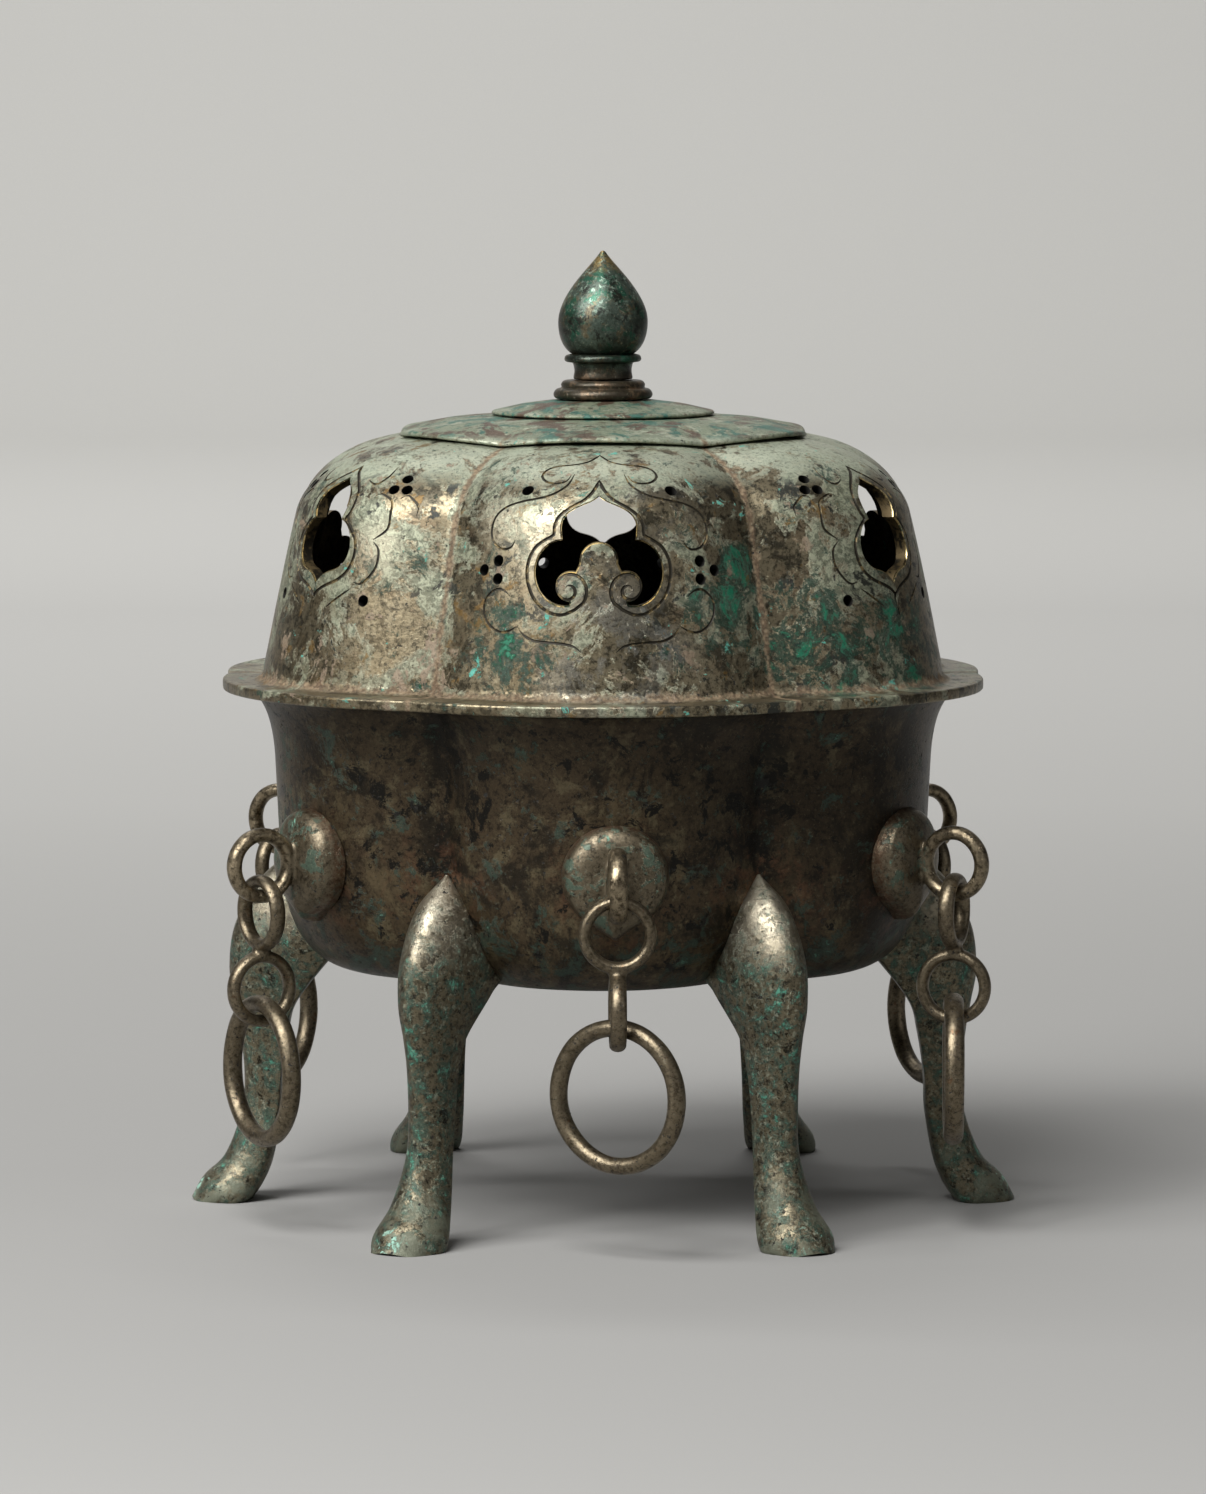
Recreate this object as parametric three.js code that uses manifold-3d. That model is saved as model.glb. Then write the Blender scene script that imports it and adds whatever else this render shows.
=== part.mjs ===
// Bronze incense burner: a six-lobed bowl on six cabriole legs, a pierced six-lobed lid
// with a bud finial, and six short chains that end in loose rings. Millimetres, +Z up.
// The origin is on the floor, on the vessel's axis, and azimuth 0 is the front, along -Y.
import * as THREE from 'three';
import { mergeVertices } from 'three/addons/utils/BufferGeometryUtils.js';
import Module from 'manifold-3d';

const wasm = await Module();
wasm.setup();

// Clearances
const SEAT_GAP = 0.3; // between castings that rest on each other
const HANGING_GAP = 0.5; // between a hanging ring and the ring that it hangs in
const MOUTH_PLAY = 0.5; // round the lid's tongue, inside the bowl's mouth
const PEG_PLAY = 0.3; // round a peg or tang, in its hole

// Plan: lobes of equal width that meet in grooves
const LOBES = 6;
const STEPS_PER_LOBE = 8;

// Bowl: radii are at the middle of a lobe, and a groove depth is taken off them
const BOWL_BASE_Z = 63; // underside of the bowl above the floor
const BOWL_DEPTH = 71.3;
const BELLY_RADIUS = 88.4;
const BELLY_GROOVE = 11.2;
const BELLY_SWELL = 1.3; // how much wider the wall is below the flare than at the belly
const CORNER_WIDTH = 22.4; // rounded corner between the flat underside and the wall
const CORNER_HEIGHT = 29;
const FLARE_WIDTH = 4.8; // the mouth's turned-out lip
const FLARE_HEIGHT = 16;
const RIM_WIDTH = 3.6;
const BOWL_WALL = 3;

// Lid: a flange that rests on the rim, and the dome above it
const FLANGE_RADIUS = 101;
const FLANGE_NOTCH = 4.5;
const FLANGE_THICKNESS = 2.8;
const TONGUE_DEPTH = 5; // locating ring under the flange, inside the mouth
const TONGUE_THICKNESS = 2;
const DOME_HEIGHT = 62; // top of the flange to the seat of the crown plate
const FOOT_RADIUS = 92;
const FOOT_GROOVE = 9.2;
const FOOT_FILLET = 3.8;
const SHOULDER_HEIGHT = 43;
const SHOULDER_RADIUS = 84;
const SHOULDER_GROOVE = 11.3;
const BROW_RADIUS = 66; // where the shoulder has turned over into the top
const BROW_GROOVE = 12.4;
const DOME_SEAT_RADIUS = 50;
const DOME_SEAT_GROOVE = 8;
const LID_WALL = 3;

// Crown: a lobed plate, a round plate and the moulded base of the finial
const CROWN_RADIUS = 54.6;
const CROWN_NOTCH = 3.4;
const CROWN_EDGE = 1.5;
const CROWN_RISE = 4.3;
const TIER_RADIUS = 28.8;
const TIER_EDGE = 0.8;
const TIER_RISE = 3.6;
const BASE_RADIUS = 12.95;
const BASE_STEP_RADIUS = 10.95;
const BASE_LOWER_HEIGHT = 2.7;
const BASE_UPPER_HEIGHT = 2.1;

// Finial: a bud on a collar and a neck, with a tang that is peened over a rove in the lid
const NECK_RADIUS = 7.7;
const NECK_HEIGHT = 4.4;
const COLLAR_RADIUS = 10;
const COLLAR_HEIGHT = 2.1;
const BUD_FOOT_RADIUS = 8;
const BUD_RADIUS = 11.5;
const BUD_HEIGHT = 26.5;
const TANG_RADIUS = 1.6;
const TANG_HEAD_RADIUS = 3.8;
const TANG_HEAD_HEIGHT = 1.8;
const ROVE_RADIUS = 8;
const ROVE_THICKNESS = 1.5;

// Bosses and their fixed eyes
const BOSS_RISE = 30.9; // centre of the boss above the bowl's underside
const BOSS_RADIUS = 13.3;
const BOSS_TIP_DROP = 15.8; // centre of the boss to its pointed lower tip
const BOSS_STANDOFF = 5.8; // face of the boss beyond the wall
const BOSS_ROUNDING = 3.4;
const EYE_DROP = 0.5; // centre of the eye below the centre of the boss
const EYE_RADIUS = 7.8; // to the middle of the wire, as in all the rings below
const EYE_WIRE = [3.6, 4.6]; // thickness from inside to outside, and width along the axis
const EYE_SINK = 1; // how deep the eye's flattened side sits in the boss

// Links: two rings joined at right angles, and the large ring below them
const LINK_RADIUS = 8.15;
const LINK_WIRE = [3.3, 4.4];
const LINK_PITCH = 19.2; // centre to centre of the two rings
const BRAZE_RADIUS = 2.4;
const RING_RADIUS = 17.1;
const RING_WIRE = [4.3, 5];

// Degrees: where each boss was set by hand, and how far its link and large ring have turned
// about the vertical as they hang. The boss at the back has lost its chain.
const CHAINS = [
  { azimuth: 2, hangs: true, linkTurn: 0, ringTurn: -34 },
  { azimuth: 59.4, hangs: true, linkTurn: 13, ringTurn: 29 },
  { azimuth: 123, hangs: true, linkTurn: 0, ringTurn: -8 },
  { azimuth: 180, hangs: false },
  { azimuth: 237, hangs: true, linkTurn: 0, ringTurn: 9 },
  { azimuth: 303.3, hangs: true, linkTurn: 0, ringTurn: -5 },
];

// Legs, seen from the side, from the leaf-shaped tip of the knee down to the toe. Each is
// front offset, front height, back offset, back height, half width, and the place where the
// section is widest, from 0 at the back to 1 at the front. Offsets are beyond the groove of the
// belly. The knee's heights are from the bowl's underside, the others from the floor, and what
// would lie below the floor is ground flat, as the sole.
const KNEE_TIP = [1.4, 29.5, -3.2, 28, 0.6, 0.5];
const KNEE_UPPER = [11.1, 21.5, -3.2, 19, 7.2, 0.2];
const KNEE_FRONT = [18.1, 9.5, -11.2, 5, 11, 0.14];
const KNEE_LOWER = [19.8, -2, -6, -0.5, 10, 0.08];
const CALF_TOP = [18.5, 52, 2, 52, 7, 0.06];
const CALF = [17.1, 44, 4.3, 44, 6, 0.06];
const SHIN = [16, 33, 5.9, 33, 5.7, 0.06];
const ANKLE = [16.8, 23, 6.4, 23, 5.7, 0.13];
const INSTEP = [21, 12, 9.4, 8.4, 7.8, 0.3];
const TOE = [26.6, 6.2, 15.5, -1, 9.8, 0.3];
const TOE_TIP = [29.8, 0.6, 23, -2.6, 7.2, 0.3];
const LEG_SECTIONS = 13;
const LEG_SIDES = 8;
const LEG_PEG_RISE = 16; // above the bowl's underside

// Pegs of the legs and bosses, headed over inside the bowl
const PEG_RADIUS = 2.6;
const PEG_HEAD_RADIUS = 4.2;
const PEG_HEAD_HEIGHT = 1.4;

// Piercings of the lid, in the upright plane that faces each lobe: height above the flange
const PIERCED_AZIMUTHS = [-0.7, 57, 120, 180, 240, 304];
const TREFOIL_TIP = 50.4;
const TREFOIL_CUSP = 39.8;
const TREFOIL_HALF_WIDTH = 9.2;
const SIDE_LOBE_CENTRE = [8.6, 31.8];
const SIDE_LOBE_RADII = [7.1, 8];
const TONGUE_HEAD_HEIGHT = 34.6;
const TONGUE_HEAD_RADIUS = 4.8;
const VOLUTE_CENTRE = [6.9, 28.5];
const VOLUTE_RADIUS = 3.8;
const GOURD_TIP = 52.9;
const GOURD_WAIST = 42.8;
const GOURD_FOOT = 27.1;
const GOURD_UPPER_HALF_WIDTH = 6.4;
const GOURD_WAIST_HALF_WIDTH = 5.2;
const GOURD_LOWER_HALF_WIDTH = 9.6;

const RADIAL_STEPS = 16; // sides of the round turned pieces
const LINK_STEPS = 12; // stretches of wire round a small ring
const RING_STEPS = 20;

const legPegZ = BOWL_BASE_Z + LEG_PEG_RISE;
const bossZ = BOWL_BASE_Z + BOSS_RISE;
const rimZ = BOWL_BASE_Z + BOWL_DEPTH;
const flangeUnderZ = rimZ + SEAT_GAP;
const flangeTopZ = flangeUnderZ + FLANGE_THICKNESS;
const crownZ = flangeTopZ + DOME_HEIGHT + SEAT_GAP;
const tierZ = crownZ + CROWN_RISE + SEAT_GAP;
const baseZ = tierZ + TIER_RISE + SEAT_GAP;
const neckZ = baseZ + BASE_LOWER_HEIGHT + BASE_UPPER_HEIGHT + SEAT_GAP;
const tangHole = TANG_RADIUS + PEG_PLAY;

const degrees = THREE.MathUtils.degToRad;
const mix = THREE.MathUtils.lerp;

// Closed geometry to a solid. A profile may run either way, so the faces are turned to point out.
function solid(geometry) {
  const bare = geometry.index ? geometry.clone() : geometry;
  bare.deleteAttribute('normal');
  bare.deleteAttribute('uv');
  const merged = mergeVertices(bare, 1e-4);
  const index = merged.index.array;
  const triangles = [];
  for (let i = 0; i < index.length; i += 3) {
    const [a, b, c] = [index[i], index[i + 1], index[i + 2]];
    if (a !== b && b !== c && c !== a) triangles.push(a, b, c);
  }
  const vertices = new Float32Array(merged.attributes.position.array);
  const build = (triVerts) => new wasm.Manifold(
    new wasm.Mesh({ numProp: 3, vertProperties: vertices, triVerts: new Uint32Array(triVerts) }),
  );
  const body = build(triangles);
  return body.volume() > 0 ? body : build(triangles.reverse());
}

function mesh(name, body, material) {
  const { numProp, vertProperties, triVerts } = body.getMesh();
  const geometry = new THREE.BufferGeometry();
  geometry.setAttribute('position', new THREE.BufferAttribute(vertProperties, numProp));
  geometry.setIndex(new THREE.BufferAttribute(triVerts, 1));
  geometry.computeVertexNormals();
  const result = new THREE.Mesh(geometry, material);
  result.name = name;
  return result;
}

function bronze(color, roughness) {
  return new THREE.MeshStandardMaterial({ color, roughness, metalness: 0.85 });
}

const points = (pairs) => pairs.map(([x, y]) => new THREE.Vector2(x, y));

// Points along a profile path, moved off it by the inset: to the left of its direction.
function sample(curves, steps, inset = 0) {
  const result = [];
  curves.forEach((curve, index) => {
    for (let i = index ? 1 : 0; i <= steps[index]; i++) {
      const point = curve.getPoint(i / steps[index]);
      const along = curve.getTangent(i / steps[index]);
      result.push(new THREE.Vector2(point.x - along.y * inset, point.y + along.x * inset));
    }
  });
  return result;
}

// Radius of a rising wall at a height, between the sampled points.
function radiusAt(wall, height) {
  const above = wall.findIndex((point) => point.y >= height);
  const [low, high] = [wall[above - 1], wall[above]];
  return mix(low.x, high.x, (height - low.y) / (high.y - low.y));
}

// A lobe is an arc through its middle and its two grooves. This is its radius at an angle
// from the middle of the lobe.
function lobeRadius(middle, groove, angle) {
  if (middle === 0) return 0;
  const reach = groove * Math.cos(Math.PI / LOBES);
  const centre = (middle ** 2 - groove ** 2) / (2 * (middle - reach));
  const across = centre * Math.sin(angle);
  return centre * Math.cos(angle) + Math.sqrt((middle - centre) ** 2 - across ** 2);
}

function angleFromLobe(azimuth) {
  const pitch = (2 * Math.PI) / LOBES;
  return azimuth - pitch * Math.round(azimuth / pitch);
}

// Turns one profile round the axis, drawn in to the other profile along each groove.
function lobedLathe(middleProfile, grooveProfile) {
  const steps = LOBES * STEPS_PER_LOBE;
  const rows = middleProfile.length;
  const geometry = new THREE.LatheGeometry(middleProfile, steps);
  const position = geometry.attributes.position;
  for (let i = 0; i < position.count; i++) {
    const azimuth = (Math.floor(i / rows) * 2 * Math.PI) / steps;
    const angle = angleFromLobe(azimuth);
    const middle = middleProfile[i % rows];
    const groove = grooveProfile[i % rows];
    const radius = lobeRadius(middle.x, groove.x, angle);
    const height = mix(middle.y, groove.y, ((angle * LOBES) / Math.PI) ** 2);
    position.setXYZ(i, radius * Math.sin(azimuth), height, radius * Math.cos(azimuth));
  }
  return solid(geometry.rotateX(Math.PI / 2));
}

function turned(profile, steps = RADIAL_STEPS) {
  return solid(new THREE.LatheGeometry(points(profile), steps).rotateX(Math.PI / 2));
}

// A round bar that lies along the radius at the front of the vessel.
function radialBar(radius, inner, outer, height, sides = 8) {
  const bar = new THREE.CylinderGeometry(radius, radius, outer - inner, sides);
  return solid(bar.translate(0, -(inner + outer) / 2, height));
}

const WALL_STEPS = [4, 1, 3]; // along the corner, the wall and the flare

// Outer wall of the bowl, from its flat underside up to the lip.
function bowlWall(groove, growth = 0) {
  const belly = BELLY_RADIUS - groove;
  const swollen = belly + BELLY_SWELL;
  const flat = belly - CORNER_WIDTH;
  const corner = new THREE.CubicBezierCurve(...points([
    [flat, BOWL_BASE_Z],
    [belly - 0.37 * CORNER_WIDTH, BOWL_BASE_Z],
    [belly - 0.04 * CORNER_WIDTH, BOWL_BASE_Z + 0.38 * CORNER_HEIGHT],
    [belly, BOWL_BASE_Z + CORNER_HEIGHT],
  ]));
  const wall = new THREE.LineCurve(...points([
    [belly, BOWL_BASE_Z + CORNER_HEIGHT],
    [swollen, rimZ - FLARE_HEIGHT],
  ]));
  const flare = new THREE.QuadraticBezierCurve(...points([
    [swollen, rimZ - FLARE_HEIGHT],
    [swollen + 0.15 * FLARE_WIDTH, rimZ - 0.3 * FLARE_HEIGHT],
    [swollen + FLARE_WIDTH, rimZ],
  ]));
  const curves = [corner, wall, flare];
  return { curves, outer: sample(curves, WALL_STEPS, -growth) };
}

// The inner wall leaves out the last stretch of the flare, which the rim closes.
function bowlInner(groove, gap = 0) {
  return sample(bowlWall(groove).curves, WALL_STEPS, BOWL_WALL + gap).slice(0, -1);
}

function bowlProfile(groove) {
  const outer = bowlWall(groove).outer;
  const lip = outer.pop().x;
  const edge = 0.5;
  const rim = points([
    [lip, rimZ - edge],
    [lip - edge, rimZ],
    [lip - RIM_WIDTH, rimZ],
  ]);
  const inner = bowlInner(groove).reverse();
  return [...points([[0, BOWL_BASE_Z]]), ...outer, ...rim, ...inner, ...points([[0, inner.at(-1).y]])];
}

// A solid inside a wall outline, closed flat at both ends.
function filled(wall) {
  const profile = (groove) => {
    const outline = wall(groove);
    return [...points([[0, outline[0].y]]), ...outline, ...points([[0, outline.at(-1).y]])];
  };
  return lobedLathe(profile(0), profile(BELLY_GROOVE));
}

// What stands against the bowl is cut by its outside, and what fits in it by its inside, each
// moved off the wall by the seat gap.
const outside = filled((groove) => bowlWall(groove, SEAT_GAP).outer);
const inside = filled((groove) => bowlInner(groove, SEAT_GAP));

function bowl() {
  let body = lobedLathe(bowlProfile(0), bowlProfile(BELLY_GROOVE));
  const hole = PEG_RADIUS + PEG_PLAY;
  const drill = (height, azimuth) => {
    const bit = radialBar(hole, BELLY_RADIUS / 2, FLANGE_RADIUS, height);
    body = body.subtract(bit.rotate([0, 0, azimuth]));
  };
  for (let i = 0; i < LOBES; i++) drill(legPegZ, (360 / LOBES) * (i + 0.5));
  CHAINS.forEach(({ azimuth }) => drill(bossZ, azimuth));
  return body;
}

// Outer outline of the dome, from its fillet on the flange up to the seat of the crown plate.
function domeCurves(foot, shoulder, brow, seat) {
  const overShoulder = (share) => flangeTopZ + mix(SHOULDER_HEIGHT, DOME_HEIGHT, share);
  const wallStart = flangeTopZ + FOOT_FILLET;
  const fillet = new THREE.QuadraticBezierCurve(...points([
    [foot + FOOT_FILLET, flangeTopZ],
    [foot, flangeTopZ],
    [foot, wallStart],
  ]));
  const wall = new THREE.CubicBezierCurve(...points([
    [foot, wallStart],
    [mix(foot, shoulder, 0.16), mix(wallStart, overShoulder(0), 0.16)],
    [mix(foot, shoulder, 0.58), mix(wallStart, overShoulder(0), 0.64)],
    [shoulder, overShoulder(0)],
  ]));
  const turn = new THREE.CubicBezierCurve(...points([
    [shoulder, overShoulder(0)],
    [mix(shoulder, brow, 0.06), overShoulder(0.27)],
    [mix(shoulder, brow, 0.37), overShoulder(0.64)],
    [brow, overShoulder(0.84)],
  ]));
  const top = new THREE.QuadraticBezierCurve(...points([
    [brow, overShoulder(0.84)],
    [mix(brow, seat, 0.5), overShoulder(0.96)],
    [seat, overShoulder(1)],
  ]));
  return [fillet, wall, turn, top];
}

function lidProfile(grooved) {
  const groove = grooved ? 1 : 0;
  const curves = domeCurves(
    FOOT_RADIUS - groove * FOOT_GROOVE,
    SHOULDER_RADIUS - groove * SHOULDER_GROOVE,
    BROW_RADIUS - groove * BROW_GROOVE,
    DOME_SEAT_RADIUS - groove * DOME_SEAT_GROOVE,
  );
  const outer = sample(curves, [2, 3, 4, 1]).reverse();
  const inner = sample(curves.slice(1), [2, 3, 1], LID_WALL);
  const edge = FLANGE_RADIUS - groove * FLANGE_NOTCH;
  const soft = 0.6;
  const tongueZ = flangeUnderZ - TONGUE_DEPTH;
  const tongue = radiusAt(bowlInner(groove * BELLY_GROOVE), tongueZ) - MOUTH_PLAY;
  const flange = points([
    [edge - soft, flangeTopZ],
    [edge, flangeTopZ - soft],
    [edge, flangeUnderZ + soft],
    [edge - soft, flangeUnderZ],
    [tongue, flangeUnderZ],
    [tongue, tongueZ],
    [tongue - TONGUE_THICKNESS, tongueZ],
    [tongue - TONGUE_THICKNESS, flangeTopZ],
  ]);
  const start = points([[tangHole, outer[0].y]]);
  const end = points([[tangHole, inner.at(-1).y]]);
  return [...start, ...outer, ...flange, ...inner, ...end, ...start];
}

// An upright cutter at the front of the dome, from an outline of width against height.
function frontCutter(shape, curveSegments) {
  const reach = FLANGE_RADIUS;
  const cutter = new THREE.ExtrudeGeometry(shape, { depth: reach, bevelEnabled: false, curveSegments });
  return solid(cutter.rotateX(Math.PI / 2).translate(0, 0, flangeTopZ));
}

function oval(x, y, radiusX, radiusY, segments) {
  const shape = new THREE.Shape();
  shape.absellipse(x, y, radiusX, radiusY, 0, 2 * Math.PI);
  return frontCutter(shape, segments);
}

// Trefoil with an ogee point, and a tongue with two volutes that stands up in it.
function trefoilCutter() {
  const ogee = new THREE.Shape();
  const half = TREFOIL_HALF_WIDTH;
  const bulge = mix(TREFOIL_CUSP, TREFOIL_TIP, 0.33);
  const neck = mix(TREFOIL_CUSP, TREFOIL_TIP, 0.78);
  ogee.moveTo(0, TREFOIL_TIP);
  ogee.bezierCurveTo(0.2 * half, neck, 0.94 * half, neck, half, bulge);
  ogee.lineTo(0.97 * half, TREFOIL_CUSP);
  ogee.lineTo(0.6 * half, SIDE_LOBE_CENTRE[1]);
  ogee.lineTo(-0.6 * half, SIDE_LOBE_CENTRE[1]);
  ogee.lineTo(-0.97 * half, TREFOIL_CUSP);
  ogee.lineTo(-half, bulge);
  ogee.bezierCurveTo(-0.94 * half, neck, -0.2 * half, neck, 0, TREFOIL_TIP);
  const [sideX, sideY] = SIDE_LOBE_CENTRE;
  const [voluteX, voluteY] = VOLUTE_CENTRE;
  const stem = new THREE.Shape(points([
    [-voluteX, sideY - 2 * SIDE_LOBE_RADII[1]],
    [voluteX, sideY - 2 * SIDE_LOBE_RADII[1]],
    [voluteX, voluteY],
    [0.9 * TONGUE_HEAD_RADIUS, TONGUE_HEAD_HEIGHT],
    [-0.9 * TONGUE_HEAD_RADIUS, TONGUE_HEAD_HEIGHT],
    [-voluteX, voluteY],
  ]));
  return frontCutter(ogee, 4)
    .add(oval(sideX, sideY, ...SIDE_LOBE_RADII, 10))
    .add(oval(-sideX, sideY, ...SIDE_LOBE_RADII, 10))
    .subtract(frontCutter(stem, 1))
    .subtract(oval(0, TONGUE_HEAD_HEIGHT, TONGUE_HEAD_RADIUS, TONGUE_HEAD_RADIUS, 8))
    .subtract(oval(voluteX, voluteY, VOLUTE_RADIUS, VOLUTE_RADIUS, 8))
    .subtract(oval(-voluteX, voluteY, VOLUTE_RADIUS, VOLUTE_RADIUS, 8));
}

// Gourd-shaped opening, pointed at both ends and cusped at the waist.
function gourdCutter() {
  const [upper, waist, lower] = [GOURD_UPPER_HALF_WIDTH, GOURD_WAIST_HALF_WIDTH, GOURD_LOWER_HALF_WIDTH];
  const shoulder = mix(GOURD_WAIST, GOURD_TIP, 0.75);
  const hip = mix(GOURD_FOOT, GOURD_WAIST, 0.95);
  const belly = mix(GOURD_FOOT, GOURD_WAIST, 0.3);
  const shape = new THREE.Shape();
  shape.moveTo(0, GOURD_TIP);
  shape.bezierCurveTo(0.35 * upper, shoulder, 1.3 * upper, shoulder, waist, GOURD_WAIST);
  shape.bezierCurveTo(lower, hip, 1.35 * lower, belly, 0.5 * lower, belly - 1.6);
  shape.quadraticCurveTo(0.15 * lower, belly - 2.4, 0, GOURD_FOOT);
  shape.quadraticCurveTo(-0.15 * lower, belly - 2.4, -0.5 * lower, belly - 1.6);
  shape.bezierCurveTo(-1.35 * lower, belly, -lower, hip, -waist, GOURD_WAIST);
  shape.bezierCurveTo(-1.3 * upper, shoulder, -0.35 * upper, shoulder, 0, GOURD_TIP);
  return frontCutter(shape, 4);
}

function lidDome() {
  let body = lobedLathe(lidProfile(false), lidProfile(true));
  const cutters = [trefoilCutter(), gourdCutter()];
  PIERCED_AZIMUTHS.forEach((azimuth, i) => {
    body = body.subtract(cutters[i % 2].rotate([0, 0, azimuth]));
  });
  return body;
}

function crownPlate() {
  const profile = (edge) => {
    const outline = points([
      [tangHole, crownZ],
      [edge - 0.4, crownZ],
      [edge, crownZ + 0.5 * CROWN_EDGE],
      [edge - 0.5, crownZ + CROWN_EDGE],
      [mix(TIER_RADIUS, edge, 0.5), crownZ + mix(CROWN_EDGE, CROWN_RISE, 0.62)],
      [TIER_RADIUS, crownZ + CROWN_RISE],
      [tangHole, crownZ + CROWN_RISE],
    ]);
    return [...outline, outline[0]];
  };
  return lobedLathe(profile(CROWN_RADIUS), profile(CROWN_RADIUS - CROWN_NOTCH));
}

function crownTier() {
  return turned([
    [tangHole, tierZ],
    [TIER_RADIUS - 0.3, tierZ],
    [TIER_RADIUS, tierZ + 0.4 * TIER_EDGE],
    [TIER_RADIUS - 0.3, tierZ + TIER_EDGE],
    [mix(BASE_RADIUS, TIER_RADIUS, 0.5), tierZ + mix(TIER_EDGE, TIER_RISE, 0.65)],
    [BASE_RADIUS + 0.5, tierZ + TIER_RISE],
    [tangHole, tierZ + TIER_RISE],
    [tangHole, tierZ],
  ], 1.5 * RADIAL_STEPS);
}

function finialBase() {
  const stepZ = baseZ + BASE_LOWER_HEIGHT;
  const topZ = stepZ + BASE_UPPER_HEIGHT;
  return turned([
    [tangHole, baseZ],
    [BASE_RADIUS - 0.5, baseZ],
    [BASE_RADIUS, mix(baseZ, stepZ, 0.45)],
    [BASE_RADIUS - 0.8, stepZ],
    [BASE_STEP_RADIUS - 0.4, stepZ],
    [BASE_STEP_RADIUS, mix(stepZ, topZ, 0.5)],
    [BASE_STEP_RADIUS - 0.7, topZ],
    [tangHole, topZ],
    [tangHole, baseZ],
  ]);
}

const roveTopZ = flangeTopZ + DOME_HEIGHT - LID_WALL - SEAT_GAP;
const tangHeadTopZ = roveTopZ - ROVE_THICKNESS - SEAT_GAP;

function finialRove() {
  return turned([
    [tangHole, roveTopZ],
    [ROVE_RADIUS, roveTopZ],
    [ROVE_RADIUS, roveTopZ - ROVE_THICKNESS],
    [tangHole, roveTopZ - ROVE_THICKNESS],
    [tangHole, roveTopZ],
  ]);
}

function finial() {
  const collarZ = neckZ + NECK_HEIGHT;
  const budZ = collarZ + COLLAR_HEIGHT;
  const widestZ = budZ + 0.31 * BUD_HEIGHT;
  const swell = new THREE.CubicBezierCurve(...points([
    [BUD_FOOT_RADIUS, budZ],
    [mix(BUD_FOOT_RADIUS, BUD_RADIUS, 0.75), mix(budZ, widestZ, 0.2)],
    [BUD_RADIUS, mix(budZ, widestZ, 0.6)],
    [BUD_RADIUS, widestZ],
  ]));
  const taper = new THREE.CubicBezierCurve(...points([
    [BUD_RADIUS, widestZ],
    [BUD_RADIUS, mix(widestZ, budZ + BUD_HEIGHT, 0.38)],
    [0.26 * BUD_RADIUS, mix(widestZ, budZ + BUD_HEIGHT, 0.8)],
    [0, budZ + BUD_HEIGHT],
  ]));
  const bud = sample([swell, taper], [3, 6]).map((point) => [point.x, point.y]);
  return turned([
    [0, tangHeadTopZ - TANG_HEAD_HEIGHT],
    [0.6 * TANG_HEAD_RADIUS, tangHeadTopZ - TANG_HEAD_HEIGHT],
    [TANG_HEAD_RADIUS, tangHeadTopZ - 0.5 * TANG_HEAD_HEIGHT],
    [TANG_HEAD_RADIUS, tangHeadTopZ],
    [TANG_RADIUS, tangHeadTopZ],
    [TANG_RADIUS, neckZ],
    [NECK_RADIUS, neckZ],
    [NECK_RADIUS - 0.4, neckZ + 0.5 * NECK_HEIGHT],
    [NECK_RADIUS, collarZ - 0.1],
    [COLLAR_RADIUS - 0.5, collarZ],
    [COLLAR_RADIUS, collarZ + 0.3 * COLLAR_HEIGHT],
    [COLLAR_RADIUS - 0.3, collarZ + 0.8 * COLLAR_HEIGHT],
    ...bud,
  ]);
}

// One leg in its own frame at the front: sections between the front and the back outline.
function legBlank() {
  const groove = BELLY_RADIUS - BELLY_GROOVE;
  const stations = [
    ...[KNEE_TIP, KNEE_UPPER, KNEE_FRONT, KNEE_LOWER].map((station) => [BOWL_BASE_Z, ...station]),
    ...[CALF_TOP, CALF, SHIN, ANKLE, INSTEP, TOE, TOE_TIP].map((station) => [0, ...station]),
  ];
  const spline = (pick) => new THREE.CatmullRomCurve3(stations.map(pick));
  const front = spline(([base, reach, height]) => new THREE.Vector3(0, -groove - reach, base + height));
  const back = spline(([base, , , reach, height]) => new THREE.Vector3(0, -groove - reach, base + height));
  const girth = spline(([, , , , , half, widest]) => new THREE.Vector3(half, widest, 0));
  const vertices = [];
  for (let i = 0; i < LEG_SECTIONS; i++) {
    const t = i / (LEG_SECTIONS - 1);
    const [outer, inner, { x: half, y: widest }] = [front, back, girth].map((c) => c.getPoint(t));
    for (let side = 0; side < LEG_SIDES; side++) {
      const angle = (2 * Math.PI * side) / LEG_SIDES;
      const along = Math.cos(angle);
      const share = widest + along * (along > 0 ? 1 - widest : widest);
      const point = inner.clone().lerp(outer, share);
      vertices.push(half * Math.sin(angle), point.y, Math.max(point.z, 0));
    }
  }
  const index = [];
  for (let i = 0; i < LEG_SECTIONS - 1; i++) {
    for (let side = 0; side < LEG_SIDES; side++) {
      const next = (side + 1) % LEG_SIDES;
      const [a, b] = [i * LEG_SIDES + side, i * LEG_SIDES + next];
      index.push(a, b, b + LEG_SIDES, a, b + LEG_SIDES, a + LEG_SIDES);
    }
  }
  const last = (LEG_SECTIONS - 1) * LEG_SIDES;
  for (let side = 2; side < LEG_SIDES; side++) {
    const next = (side + 1) % LEG_SIDES;
    index.push(1, next, side);
    index.push(last + 1, last + side, last + next);
  }
  const geometry = new THREE.BufferGeometry();
  geometry.setAttribute('position', new THREE.Float32BufferAttribute(vertices, 3));
  geometry.setIndex(index);
  return solid(geometry);
}

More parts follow.
